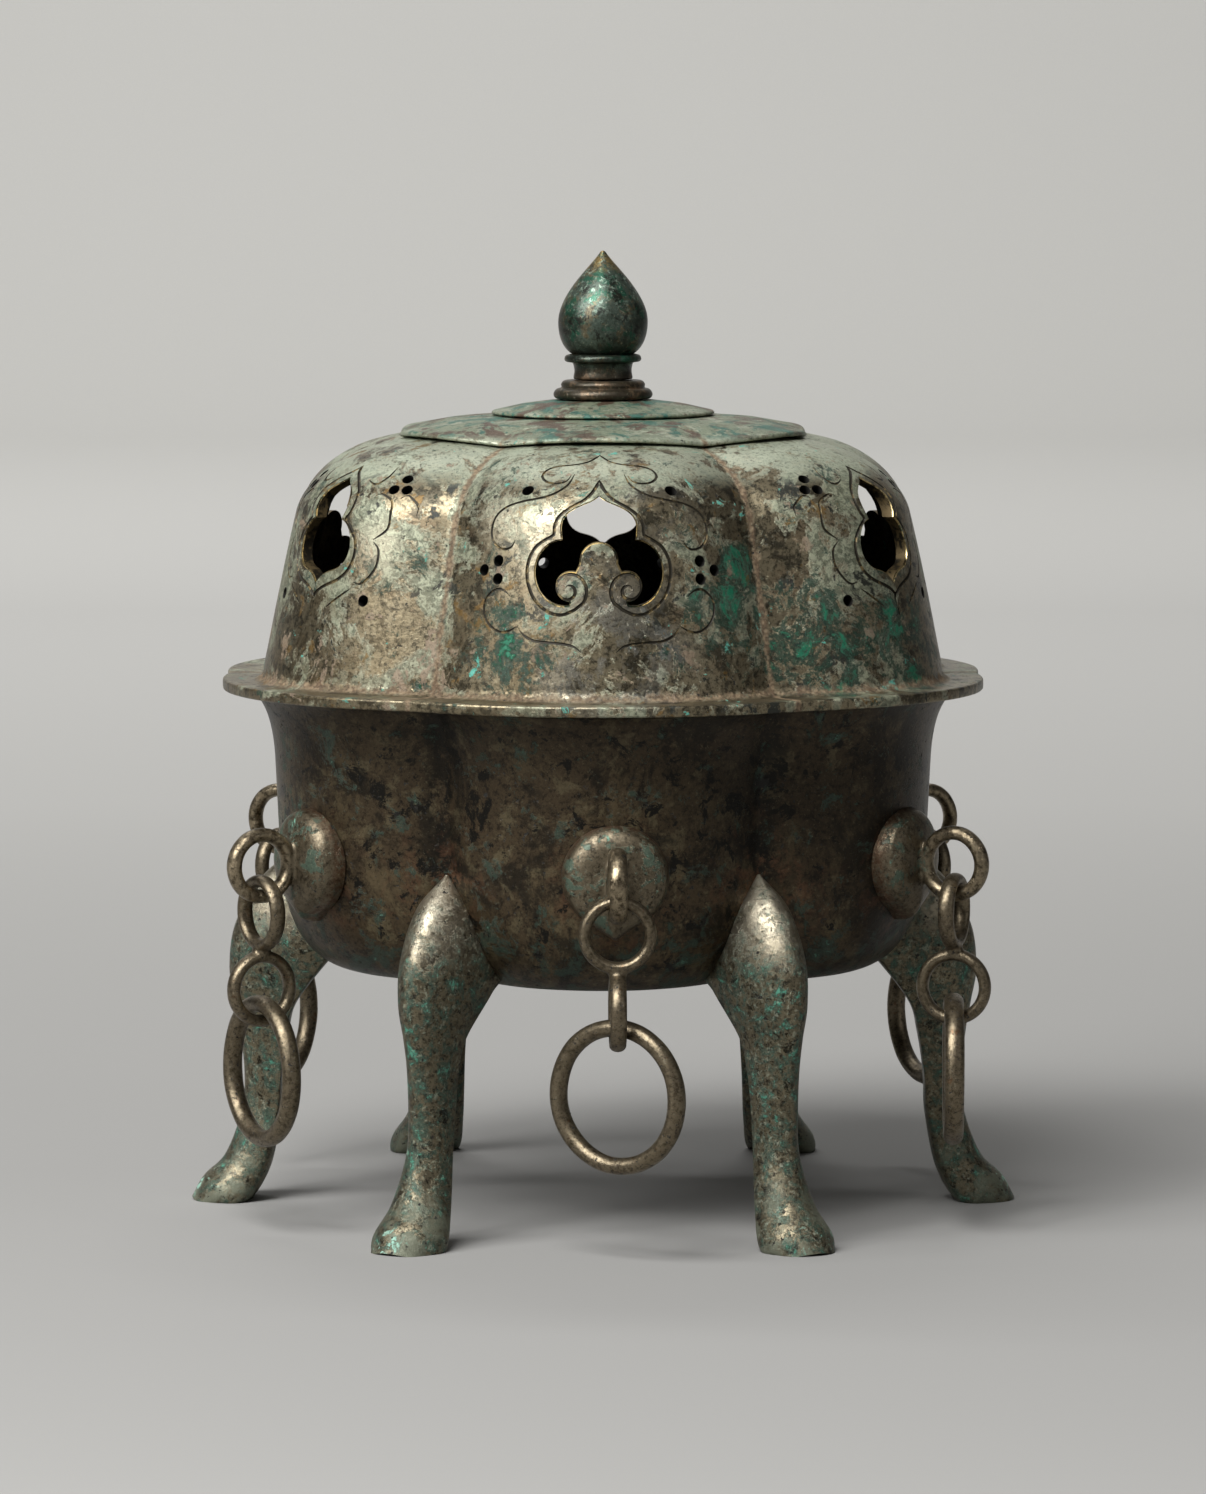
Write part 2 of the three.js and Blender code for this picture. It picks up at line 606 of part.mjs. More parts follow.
// Cuts a piece, made at the front, to stand against the wall at its azimuth, and gives it a
// peg through the wall that is headed over inside.
function seated(piece, azimuth, groove, height) {
  const innerFace = radiusAt(bowlInner(groove), height - PEG_HEAD_RADIUS) - SEAT_GAP;
  const outerFace = radiusAt(bowlWall(groove).outer, height);
  const headEnd = innerFace - PEG_HEAD_HEIGHT;
  const head = radialBar(PEG_HEAD_RADIUS, headEnd, outerFace, height);
  return piece
    .subtract(outside.rotate([0, 0, -azimuth]))
    .add(radialBar(PEG_RADIUS, headEnd + 0.5 * PEG_HEAD_HEIGHT, outerFace + BOWL_WALL, height))
    .add(head.intersect(inside.rotate([0, 0, -azimuth])));
}

// A ring of oval wire in the upright plane that faces front, with its centre at the origin.
function ring(radius, [thickness, width], segments) {
  const torus = new THREE.TorusGeometry(radius, thickness / 2, 6, segments);
  return solid(torus.scale(1, 1, width / thickness).rotateX(Math.PI / 2));
}

const bossFace = radiusAt(bowlWall(0).outer, bossZ) + BOSS_STANDOFF;
const eyeReach = bossFace - EYE_SINK + EYE_RADIUS + EYE_WIRE[0] / 2; // radius of the eye's centre
const eyeZ = bossZ - EYE_DROP;
const linkTop = eyeZ - EYE_RADIUS + EYE_WIRE[0] / 2 + HANGING_GAP + LINK_WIRE[0] / 2;
const linkBottom = linkTop - 2 * LINK_RADIUS - LINK_PITCH;
const ringTop = linkBottom + LINK_WIRE[0] / 2 + HANGING_GAP + RING_WIRE[0] / 2;

// Cushion-shaped boss with a pointed lower tip, and the eye that stands on it.
function bossEye(azimuth) {
  const round = BOSS_RADIUS - BOSS_ROUNDING;
  const tip = BOSS_TIP_DROP - BOSS_ROUNDING;
  const shape = new THREE.Shape();
  shape.absarc(0, 0, round, degrees(-55), degrees(235), false);
  shape.lineTo(0, -tip);
  const cushion = new THREE.ExtrudeGeometry(shape, {
    depth: 2 * BOSS_STANDOFF,
    bevelThickness: BOSS_ROUNDING,
    bevelSize: BOSS_ROUNDING,
    bevelSegments: 2,
    curveSegments: 10,
  });
  const back = bossFace - 2 * BOSS_STANDOFF - BOSS_ROUNDING;
  const body = solid(cushion.rotateX(Math.PI / 2).translate(0, -back, bossZ));
  const eye = ring(EYE_RADIUS, EYE_WIRE, LINK_STEPS).rotate([0, 0, 90]).translate([0, -eyeReach, eyeZ]);
  return seated(body, azimuth, 0, bossZ).add(eye);
}

// Its origin is the middle of the top wire, which the link swings about.
function link() {
  const upper = ring(LINK_RADIUS, LINK_WIRE, LINK_STEPS).translate([0, 0, -LINK_RADIUS]);
  const lowerZ = -LINK_RADIUS - LINK_PITCH;
  const lower = ring(LINK_RADIUS, LINK_WIRE, LINK_STEPS).rotate([0, 0, 90]).translate([0, 0, lowerZ]);
  const braze = new THREE.SphereGeometry(BRAZE_RADIUS, 6, 4).rotateX(Math.PI / 2);
  return upper.add(lower).add(solid(braze.translate(0, 0, -LINK_RADIUS - LINK_PITCH / 2)));
}

function largeRing() {
  return ring(RING_RADIUS, RING_WIRE, RING_STEPS).translate([0, 0, -RING_RADIUS]);
}

const materials = {
  bowl: () => bronze(0x4a4034, 0.5),
  lid: () => bronze(0x7f8574, 0.6),
  crown: () => bronze(0x5d6a5a, 0.6),
  finial: () => bronze(0x2f4a3c, 0.4),
  leg: () => bronze(0x4b4f42, 0.55),
  chain: () => bronze(0x6e5c41, 0.45),
};

const burner = new THREE.Group();

burner.add(mesh('bowl', bowl(), materials.bowl()));
burner.add(mesh('lid_dome', lidDome(), materials.lid()));
burner.add(mesh('crown_plate', crownPlate(), materials.crown()));
burner.add(mesh('crown_tier', crownTier(), materials.crown()));
burner.add(mesh('finial_base', finialBase(), materials.finial()));
burner.add(mesh('finial', finial(), materials.finial()));
burner.add(mesh('finial_rove', finialRove(), materials.chain()));

const legBody = seated(legBlank(), 180 / LOBES, BELLY_GROOVE, legPegZ);
for (let i = 0; i < LOBES; i++) {
  const piece = mesh(`leg_${i + 1}`, legBody, materials.leg());
  piece.rotation.z = ((i + 0.5) * 2 * Math.PI) / LOBES;
  burner.add(piece);
}

// Each boss carries an eye, a double link hangs in the eye, and the large ring in the link.
CHAINS.forEach(({ azimuth, hangs, linkTurn, ringTurn }, i) => {
  const chain = new THREE.Group();
  chain.rotation.z = degrees(azimuth);
  chain.add(mesh(`boss_eye_${i + 1}`, bossEye(azimuth), materials.bowl()));
  burner.add(chain);
  if (!hangs) return;
  const double = mesh(`link_${i + 1}`, link(), materials.chain());
  double.position.set(0, -eyeReach, linkTop);
  double.rotation.z = degrees(linkTurn);
  const large = mesh(`ring_${i + 1}`, largeRing(), materials.chain());
  large.position.set(0, -eyeReach, ringTop);
  large.rotation.z = degrees(ringTurn);
  chain.add(double, large);
});

export default burner;
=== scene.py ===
# %% [markdown]
# # A bronze incense burner with a pierced lid
# The solids of the burner come from a CAD model. This lesson makes each of them again in the same
# place, with its cast surface, its cut and engraved ornament and its patina, and lights the whole
# as a museum would. Everything is in metres, with the origin on the floor under the finial.

# %% Load the CAD model
import math

import bmesh
import bpy
import numpy as np
from mathutils import Matrix, Vector
from mathutils.bvhtree import BVHTree


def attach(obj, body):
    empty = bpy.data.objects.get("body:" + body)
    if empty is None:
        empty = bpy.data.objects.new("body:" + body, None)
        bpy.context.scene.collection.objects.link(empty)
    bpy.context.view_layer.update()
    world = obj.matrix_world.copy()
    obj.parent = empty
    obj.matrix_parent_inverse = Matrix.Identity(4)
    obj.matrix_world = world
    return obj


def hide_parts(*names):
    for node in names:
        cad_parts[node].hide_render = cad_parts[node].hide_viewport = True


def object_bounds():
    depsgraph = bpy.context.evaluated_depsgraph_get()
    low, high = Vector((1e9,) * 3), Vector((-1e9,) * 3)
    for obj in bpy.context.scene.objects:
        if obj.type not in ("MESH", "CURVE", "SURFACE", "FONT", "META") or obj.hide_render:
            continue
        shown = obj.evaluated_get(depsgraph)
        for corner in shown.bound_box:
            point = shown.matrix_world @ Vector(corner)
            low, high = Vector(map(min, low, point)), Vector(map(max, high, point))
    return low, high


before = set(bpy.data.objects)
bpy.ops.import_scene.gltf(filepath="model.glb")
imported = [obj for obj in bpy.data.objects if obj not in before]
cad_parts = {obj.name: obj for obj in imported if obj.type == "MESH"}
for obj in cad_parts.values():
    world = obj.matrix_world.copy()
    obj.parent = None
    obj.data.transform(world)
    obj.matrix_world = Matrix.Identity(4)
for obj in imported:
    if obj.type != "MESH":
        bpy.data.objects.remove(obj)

MM = 0.001
LOBES = 6
cad_box = [[float(value) for value in corner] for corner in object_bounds()]
print("CAD box in mm:", [[round(value / MM, 1) for value in corner] for corner in cad_box])

# %% [markdown]
# ## The camera and the set
# The picture was taken from about two metres off with a long lens, a little above the lid, so
# that the feet at the front sit lower in the frame than those behind. The set is one sheet of
# grey paper, which lies under the burner and bends up well behind it.

# %% Camera
CAMERA_PLACE = (0, -1.888, 0.298)
DEGREES_DOWN = 5.447

lens = bpy.data.cameras.new("camera")
lens.lens = 176.5
lens.sensor_width = 36
camera = bpy.data.objects.new("camera", lens)
camera.location = CAMERA_PLACE
camera.rotation_euler = (math.radians(90 - DEGREES_DOWN), 0, 0)
bpy.context.collection.objects.link(camera)
bpy.context.scene.camera = camera
print("camera at", tuple(round(value, 3) for value in camera.location))


# %% Paper sheet
def new_object(name, vertices, faces, material=None, edges=()):
    """Makes a mesh object at the origin from points in metres."""
    mesh = bpy.data.meshes.new(name)
    mesh.from_pydata([tuple(v) for v in vertices], edges, [tuple(f) for f in faces])
    mesh.update()
    if material:
        mesh.materials.append(material)
    made = bpy.data.objects.new(name, mesh)
    bpy.context.collection.objects.link(made)
    return made


def paper_sheet(half_width=4.5, front=-4.5, bend=3.7, radius=1.2, top=4.0, steps=24):
    """A sheet that lies on the floor, bends up behind the burner and rises as a backdrop."""
    line = [(front, 0.0)]
    for i in range(steps + 1):
        turn = 0.5 * math.pi * i / steps
        line.append((bend + radius * math.sin(turn), radius - radius * math.cos(turn)))
    line.append((bend + radius, top))
    vertices = [(x, y, z) for y, z in line for x in (-half_width, half_width)]
    faces = [(2 * i, 2 * i + 1, 2 * i + 3, 2 * i + 2) for i in range(len(line) - 1)]
    sheet = new_object("paper", vertices, faces)
    sheet.data.shade_smooth()
    return sheet


paper = paper_sheet()
print("paper:", len(paper.data.polygons), "faces")

# %% [markdown]
# ## Light
# Old bronze shows its form by broad soft highlights. One large soft box stands at the upper left,
# a weaker one at the right fills the shadows, and a third hangs high in front for the lid and the
# crown. A fourth lights the paper far behind, which grows paler towards the top by this lamp and
# by painted light in the paper's colour. The world is a plain dim grey, which the metal reflects
# from every other side.

# %% Lamps and world
def soft_box(name, place, target, size, power):
    """A rectangular lamp at a place, aimed at a target, in metres and watts."""
    lamp = bpy.data.lights.new(name, "AREA")
    lamp.shape = "RECTANGLE"
    lamp.size, lamp.size_y = size
    lamp.energy = power
    holder = bpy.data.objects.new(name, lamp)
    holder.location = place
    holder.rotation_euler = (Vector(target) - Vector(place)).to_track_quat("-Z", "Y").to_euler()
    bpy.context.collection.objects.link(holder)


soft_box("key", (-1.2, -0.95, 1.3), (0, 0, 0.15), (1.0, 1.0), 36)
soft_box("fill", (1.7, -1.2, 0.9), (0, 0, 0.14), (0.5, 1.4), 2.6)
soft_box("high_front", (-0.35, -0.85, 1.45), (0, 0.02, 0.1), (0.7, 0.7), 23)
soft_box("paper_light", (-0.5, 1.6, 2.6), (0, 4.2, 0.3), (2.0, 1.4), 120)

world = bpy.data.worlds.new("world")
world.use_nodes = True
surround = world.node_tree.nodes["Background"].inputs
surround["Color"].default_value = (0.42, 0.42, 0.41, 1)
surround["Strength"].default_value = 0.14
bpy.context.scene.world = world
bpy.context.scene.view_settings.view_transform = "Standard"


# %% [markdown]
# ## Sums of nodes
# Both the patina and the Geometry Nodes below are long sums. A socket that can be added and
# multiplied like a number keeps them readable, and one method adds any other node.

# %% Sockets as numbers
class Value:
    """A node's output, which can be used in sums as a number can."""

    def __init__(self, tree, socket):
        self.tree = tree
        self.socket = socket

    def math(self, operation, *others, **settings):
        terms = dict(enumerate((self, *others)))
        return self.tree.node("ShaderNodeMath", {"operation": operation, **settings}, terms)

    def __add__(self, other):
        return self.math("ADD", other)

    __radd__ = __add__

    def __mul__(self, other):
        return self.math("MULTIPLY", other)

    __rmul__ = __mul__

    def __sub__(self, other):
        return self.math("SUBTRACT", other)

    def __rsub__(self, other):
        return (self * -1) + other

    def __truediv__(self, other):
        return self.math("DIVIDE", other)

    def clamp(self):
        return self.math("ADD", 0, use_clamp=True)


# %% Node tree
class Tree:
    """A node tree, and the one way in which nodes are added to it."""

    def __init__(self, tree):
        self.tree = tree

    def node(self, kind, settings=None, sockets=None, output=0):
        made = self.tree.nodes.new(kind)
        for name, value in (settings or {}).items():
            setattr(made, name, value)
        for key, value in (sockets or {}).items():
            if isinstance(value, Value):
                self.tree.links.new(value.socket, made.inputs[key])
            else:
                made.inputs[key].default_value = value
        return Value(self, made.outputs[output])

    def mix(self, factor, under, over):
        """The colour under, covered by the colour over where factor is 1."""
        sockets = {0: factor, 6: under, 7: over}
        return self.node("ShaderNodeMix", {"data_type": "RGBA"}, sockets, output=2)


def srgb(code):
    """A colour written as RRGGBB, as the linear values that Blender uses."""
    values = [int(code[i : i + 2], 16) / 255 for i in (0, 2, 4)]
    linear = [v / 12.92 if v <= 0.04045 else ((v + 0.055) / 1.055) ** 2.4 for v in values]
    return (*linear, 1.0)


print("a middle grey as light:", round(srgb("808080")[0], 3))


# %% [markdown]
# ## Layers of a finish
# Old bronze is a stack: metal, a brown skin, crusts of green that cover some of it, earth in the
# corners, and rubbed places where the metal shows again. Each finish is built up in that order. A
# layer is a mask with a colour, how metallic and how rough it is, and how high it stands.

# %% Skin of layers
class Skin(Tree):
    """Layers of colour, metal, roughness and height, each laid over those before it."""

    def __init__(self, tree, colour, metallic, roughness):
        super().__init__(tree)
        self.place = self.node("ShaderNodeTexCoord", output="Object")
        self.colour = colour
        self.metallic = metallic
        self.roughness = roughness
        self.height = 0.0

    def noise(self, scale, seed=0.0, detail=6.0, roughness=0.6, distortion=0.0):
        """Cloudy noise from 0 to 1, with so many features to the metre."""
        sockets = {
            "Vector": self.place,
            "W": seed,
            "Scale": scale,
            "Detail": detail,
            "Roughness": roughness,
            "Distortion": distortion,
        }
        return self.node("ShaderNodeTexNoise", {"noise_dimensions": "4D"}, sockets)

    def grains(self, scale, seed=0.0):
        """Distance from the middle of scattered grains, so many to the metre."""
        sockets = {"Vector": self.place, "W": seed, "Scale": scale}
        return self.node("ShaderNodeTexVoronoi", {"voronoi_dimensions": "4D"}, sockets)

    def patches(self, noise, level, softness=0.04):
        """1 where the noise is above the level, with an edge as soft as is asked."""
        return ((noise - level) / softness).clamp()

    def flecks(self, scale, level, seed, softness=0.04, more=0.0):
        """Ragged patches of many sizes, with more of them where asked."""
        return self.patches(self.noise(scale, seed, 10.0, 0.72, 0.5) + more, level, softness)

    def speckle(self, seed, dark="1c1913", pale="a9a48e"):
        """Specks of under a millimetre, dark and pale, over everything laid before."""
        noise = self.noise(1150.0, seed, 3.0, 0.75)
        self.tint(self.patches(1 - noise, 0.53, 0.09) * 0.5, srgb(dark))
        self.tint(self.patches(noise, 0.6, 0.07) * 0.35, srgb(pale))
        self.height = noise * 0.07 + self.height

    def axis(self, index):
        return self.node("ShaderNodeSeparateXYZ", sockets={0: self.place}, output=index)

    def near(self, place, reach, softness=0.5):
        """1 round a place in millimetres, fading to 0 at the reach."""
        sockets = {0: self.place, 1: tuple(value * MM for value in place)}
        distance = self.node("ShaderNodeVectorMath", {"operation": "DISTANCE"}, sockets, output=1)
        return ((reach * MM - distance) / (reach * MM * softness)).clamp()

    def from_axis(self):
        """Distance in metres from the vertical axis."""
        x, y = self.axis(0), self.axis(1)
        return (x * x + y * y).math("SQRT")

    def from_groove(self):
        """Distance in metres, round the vessel, from the nearest groove between two lobes."""
        pitch = math.tau / LOBES
        turns = (self.axis(0).math("ARCTAN2", self.axis(1) * -1) / pitch).math("FRACT")
        return (turns - 0.5).math("ABSOLUTE") * pitch * self.from_axis()

    def cover(self, mask, colour, metallic, roughness, rise=0.0):
        """Lays one more layer, that rises so many millimetres above what it covers."""
        self.colour = self.mix(mask, self.colour, colour)
        self.metallic = mask * (metallic - self.metallic) + self.metallic
        self.roughness = mask * (roughness - self.roughness) + self.roughness
        self.height = mask * rise + self.height

    def tint(self, mask, colour):
        self.colour = self.mix(mask, self.colour, colour)

    def sockets(self):
        sockets = {"Height": self.height, "Distance": MM, "Strength": 1.0}
        bump = self.node("ShaderNodeBump", sockets=sockets)
        return {
            "Base Color": self.colour,
            "Metallic": self.metallic,
            "Roughness": self.roughness,
            "Normal": bump,
        }


# %% Paper
def finish(name, build, **constants):
    """A material whose Principled shader gets constants and what build(tree) returns."""
    material = bpy.data.materials.new(name)
    material.use_nodes = True
    shader = material.node_tree.nodes["Principled BSDF"]
    for socket, value in constants.items():
        shader.inputs[socket.replace("_", " ")].default_value = value
    for socket, value in build(material.node_tree).items():
        if isinstance(value, Value):
            material.node_tree.links.new(value.socket, shader.inputs[socket])
        else:
            shader.inputs[socket].default_value = value
    return material


def paper_fibres_and_painted_light(tree):
    skin = Skin(tree, srgb("878684"), 0.0, 0.9)
    # Painted light: the paper is painted lighter towards the camera and towards the back, and
    # palest far behind and up the backdrop, as the lamps light it. Only the fine noise below is the
    # paper's own grain.
    skin.tint(skin.patches(skin.axis(1) * -1, -0.05, 0.8), srgb("a3a29f"))
    skin.tint(skin.patches(skin.axis(1), -0.3, 1.3), srgb("a2a19e"))
    skin.tint(skin.patches(skin.axis(1), 2.0, 1.7), srgb("c6c5c1"))
    skin.tint(skin.patches(skin.axis(2), 0.0, 0.3), srgb("c4c3bf"))
    skin.tint(skin.noise(900.0, 3.0) * 0.25, srgb("8f8e8b"))
    return {"Base Color": skin.colour}


paper.data.materials.append(finish("grey_paper", paper_fibres_and_painted_light, Roughness=0.9))
print("paper finished")

# %% [markdown]
# ## Finish of the lid
# The lid was in wet earth longest. On the metal lies a grey brown skin, and over it a thin grey
# green film that has come away in islands and left darker metal. Emerald and turquoise crusts have
# grown at the right and near the crown, and tan earth has set in the grooves and along the foot.
# Zones with a soft edge say where each of these lies thickest. Their places are in millimetres.

# %% Zones
def zones(skin, *places):
    """How far inside the nearest of some round zones, from 0 to 1. Each is a place and a reach."""
    made = 0.0
    for place, reach in places:
        made = skin.near(place, reach, 1.0) + made
    return made.clamp()


# %% Film, stains and painted light
# Heights in metres where a layer starts or ends.
FLANGE_HEIGHT, EARTH_HEIGHT = 0.1375, 0.1405
BROW_HEIGHT, CROWN_HEIGHT = 0.1885, 0.1995


def film(skin, fine):
    """A thin grey green film, thickest at the upper left, with bare islands in it."""
    thick = zones(skin, ((-72, -52, 176), 52), ((-4, -80, 198), 40), ((66, -48, 190), 34))
    cloud = skin.noise(62.0, 3.0, 12.0, 0.72, 0.5) + thick * 0.09 - 0.015
    here = skin.patches(cloud, 0.53, 0.02)
    tone = skin.mix(skin.patches(fine, 0.47, 0.08), srgb("656a58"), srgb("9ea28a"))
    skin.cover(here * 0.9, tone, 0.4, 0.42, 0.05)
    rim = skin.patches(cloud, 0.515, 0.01) - here
    skin.tint((rim * 0.6).clamp(), srgb("a5a48e"))
    skin.cover(skin.flecks(120.0, 0.585, 9.0, 0.02), srgb("2b2d26"), 0.4, 0.45, -0.03)


def stains_and_painted_light(skin, height):
    """Brown soil low at the left, bare grey in front, and a pale film over the brow that also
    paints the light on the top.
    """
    soiled = zones(skin, ((-68, -54, 146), 42), ((-24, -88, 144), 26), ((-84, 0, 150), 40))
    skin.tint(soiled * skin.flecks(55.0, 0.44, 73.0, 0.08) * 0.65, srgb("6b5e46"))
    grey = zones(skin, ((2, -92, 152), 26), ((18, -88, 190), 18))
    skin.tint(grey * skin.flecks(80.0, 0.46, 70.0, 0.05) * 0.7, srgb("8f8e86"))
    # Partly painted light: the pale film over the brow is patina, made paler and wider to paint the
    # light that falls on the top of the lid.
    brow = skin.patches(height, BROW_HEIGHT, 0.004) * skin.flecks(95.0, 0.45, 71.0, 0.03)
    skin.cover(brow * 0.75, srgb("a0a792"), 0.35, 0.42, 0.04)


# %% Crusts and earth
def crusts(skin):
    """Emerald crust where the lid stayed damp, turquoise near the crown, and a little rust."""
    right = ((33, -78, 160), 20), ((37, -76, 173), 13), ((55, -66, 148), 22), ((76, -48, 150), 22)
    damp = zones(skin, *right, ((-24, -84, 152), 16))
    green = skin.noise(120.0, 5.0, 12.0, 0.8, 0.5) + damp * 0.15
    skin.cover(skin.patches(green, 0.57, 0.03) * 0.85, srgb("18382c"), 0.35, 0.42, 0.04)
    skin.cover(skin.patches(green, 0.65, 0.03), srgb("11694c"), 0.1, 0.45, 0.08)
    high = zones(skin, ((-12, -84, 194), 22), ((40, -70, 193), 20), ((0, 0, 204), 60))
    rusty = zones(skin, ((27, -82, 178), 12), ((62, -62, 182), 14), ((-34, -80, 160), 14))
    rust = skin.flecks(140.0, 0.6, 58.0, 0.03, rusty * 0.1) * 0.8
    skin.cover(rust, srgb("6e5428"), 0.5, 0.45, 0.03)
    turquoise = skin.flecks(170.0, 0.63, 6.0, 0.015, high * 0.05 + damp * 0.02)
    skin.cover(turquoise, srgb("57a392"), 0.05, 0.7, 0.08)


def earth(skin, height, grit):
    """Tan earth in spots, in the grooves and along the foot. Returns where it is caked."""
    earthy = zones(skin, ((-48, -74, 146), 22), ((-72, -52, 146), 20), ((14, -90, 145), 14))
    tan = skin.flecks(110.0, 0.61, 10.0, 0.02, earthy * 0.1)
    skin.cover(tan * 0.85, srgb("867562"), 0.3, 0.6, 0.05)
    ragged = skin.noise(260.0, 7.0, 6.0, 0.7) - 0.5
    groove = ((0.0012 - skin.from_groove()) / 0.0009 + ragged * 5.0).clamp()
    foot = ((EARTH_HEIGHT - height) / 0.0015 + ragged * 7.0 - 0.5).clamp()
    foot = foot * skin.patches(height, FLANGE_HEIGHT, 0.0008)
    caked = groove.math("MAXIMUM", foot) * 0.9
    tone = skin.mix(skin.patches(grit, 0.4, 0.3), srgb("87745b"), srgb("5f4c38"))
    skin.cover(caked, tone, 0.0, 0.85, 0.08)
    return caked


# %% Lid finish
def pits(skin, scale, level, seed=0.0):
    """Small dark corrosion pits."""
    mask = skin.patches(skin.noise(scale, seed, 3.0, 0.7), level, 0.03)
    skin.cover(mask, srgb("1c1a14"), 0.1, 0.75, -0.07)


def crown_layers(skin, height):
    """The crown plates and the flat top of the dome are greener than the wall below them."""
    top = skin.patches(height, CROWN_HEIGHT, 0.0015)
    skin.cover(top * skin.flecks(120.0, 0.45, 55.0, 0.03), srgb("747c67"), 0.25, 0.45, 0.05)
    skin.cover(top * skin.flecks(110.0, 0.52, 56.0, 0.03), srgb("335f52"), 0.2, 0.45, 0.04)
    skin.cover(top * skin.flecks(95.0, 0.52, 57.0, 0.03), srgb("574739"), 0.4, 0.42, -0.03)


def verdigris(tree):
    skin = Skin(tree, srgb("837962"), 0.85, 0.34)
    height = skin.axis(2)
    fine = skin.noise(520.0, 2.0, 9.0, 0.75)
    grit = skin.grains(900.0)
    skin.tint(skin.patches(fine, 0.49, 0.1), srgb("454034"))
    skin.tint(skin.flecks(90.0, 0.54, 4.0, 0.05) * 0.6, srgb("7f6f58"))
    skin.tint(skin.flecks(150.0, 0.53, 1.0, 0.04) * 0.8, srgb("37342b"))
    film(skin, fine)
    stains_and_painted_light(skin, height)
    crusts(skin)
    caked = earth(skin, height, grit)
    crown_layers(skin, height)
    worn = zones(skin, ((-16, -88, 178), 13), ((-30, -80, 184), 12), ((-60, -66, 176), 12))
    worn = worn * (1 - skin.patches(fine, 0.5, 0.1) * 0.6)
    skin.cover(worn, srgb("c6bda4"), 1.0, 0.28, -0.03)
    skin.height = skin.height + fine * 0.12 + grit * caked * 0.1
    skin.speckle(11.0)
    pits(skin, 420.0, 0.66)
    return skin.sockets()


lid_finish_and_painted_light = finish("verdigris_bronze", verdigris)
print("lid finish:", lid_finish_and_painted_light.name)

# %% [markdown]
# ## Cut metal
# Where the lid was cut, its metal is younger than its skin. The furrows of the graver are dark with
# a little earth in them, the lines round the openings were rubbed until they shone, and the sawn
# walls are dull and dark. The walls of the drilled holes are painted nearly black as painted shade.
# Each is one tone of metal, and all but the holes have flecks on it.

# %% Finishes of cut metal
def flecked(name, tone, metallic, roughness, *spots):
    """One tone of metal, with flecks that each have a scale, level, seed, softness and tone."""

    def build(tree):
        skin = Skin(tree, srgb(tone), metallic, roughness)
        for *flecks, fleck_tone in spots:
            skin.tint(skin.flecks(*flecks), srgb(fleck_tone))
        return skin.sockets()

    return finish(name, build)


furrow_finish = flecked("engraved_furrow", "2a261c", 0.5, 0.55, (300.0, 0.52, 51.0, 0.06, "7a6a48"))
rubbed_spots = (260.0, 0.5, 52.0, 0.05, "4a4230"), (180.0, 0.55, 53.0, 0.03, "3c4a3c")
edge_finish = flecked("rubbed_edge", "b5a377", 0.95, 0.3, *rubbed_spots)
wall_finish = flecked("sawn_wall", "6b5c40", 0.7, 0.45, (220.0, 0.48, 54.0, 0.06, "2a261d"))
# Painted shade: the walls of the drilled holes are painted nearly black, as the shade inside them.
hole_painted_shade = flecked("drilled_hole_painted_shade", "14120e", 0.2, 0.7)
print("cut metal:", [m.name for m in (furrow_finish, edge_finish, wall_finish, hole_painted_shade)])

# %% [markdown]
# ## Other bronze
# The bowl kept a dark brown skin, redder where the bosses and legs were fixed, and crusted with
# green low down. Painted shade makes it almost black at the right, in its grooves and under the
# lid's flange. The finial is glossy dark green above a brown neck. The legs are mottled green over
# brown, with pale worn knees and dull feet, and the eyes, links and rings are rubbed bronze.

# %% Bowl finish
BOSS_AZIMUTHS = [2, 59.4, 123, 180, 237, 303.3]
LEG_AZIMUTHS = [30 + 60 * k for k in range(LOBES)]


def seats(azimuths, radius, height):
    """Where pieces were fixed to the bowl, in millimetres."""
    return [(radius * math.sin(a), -radius * math.cos(a), height) for a in np.radians(azimuths)]


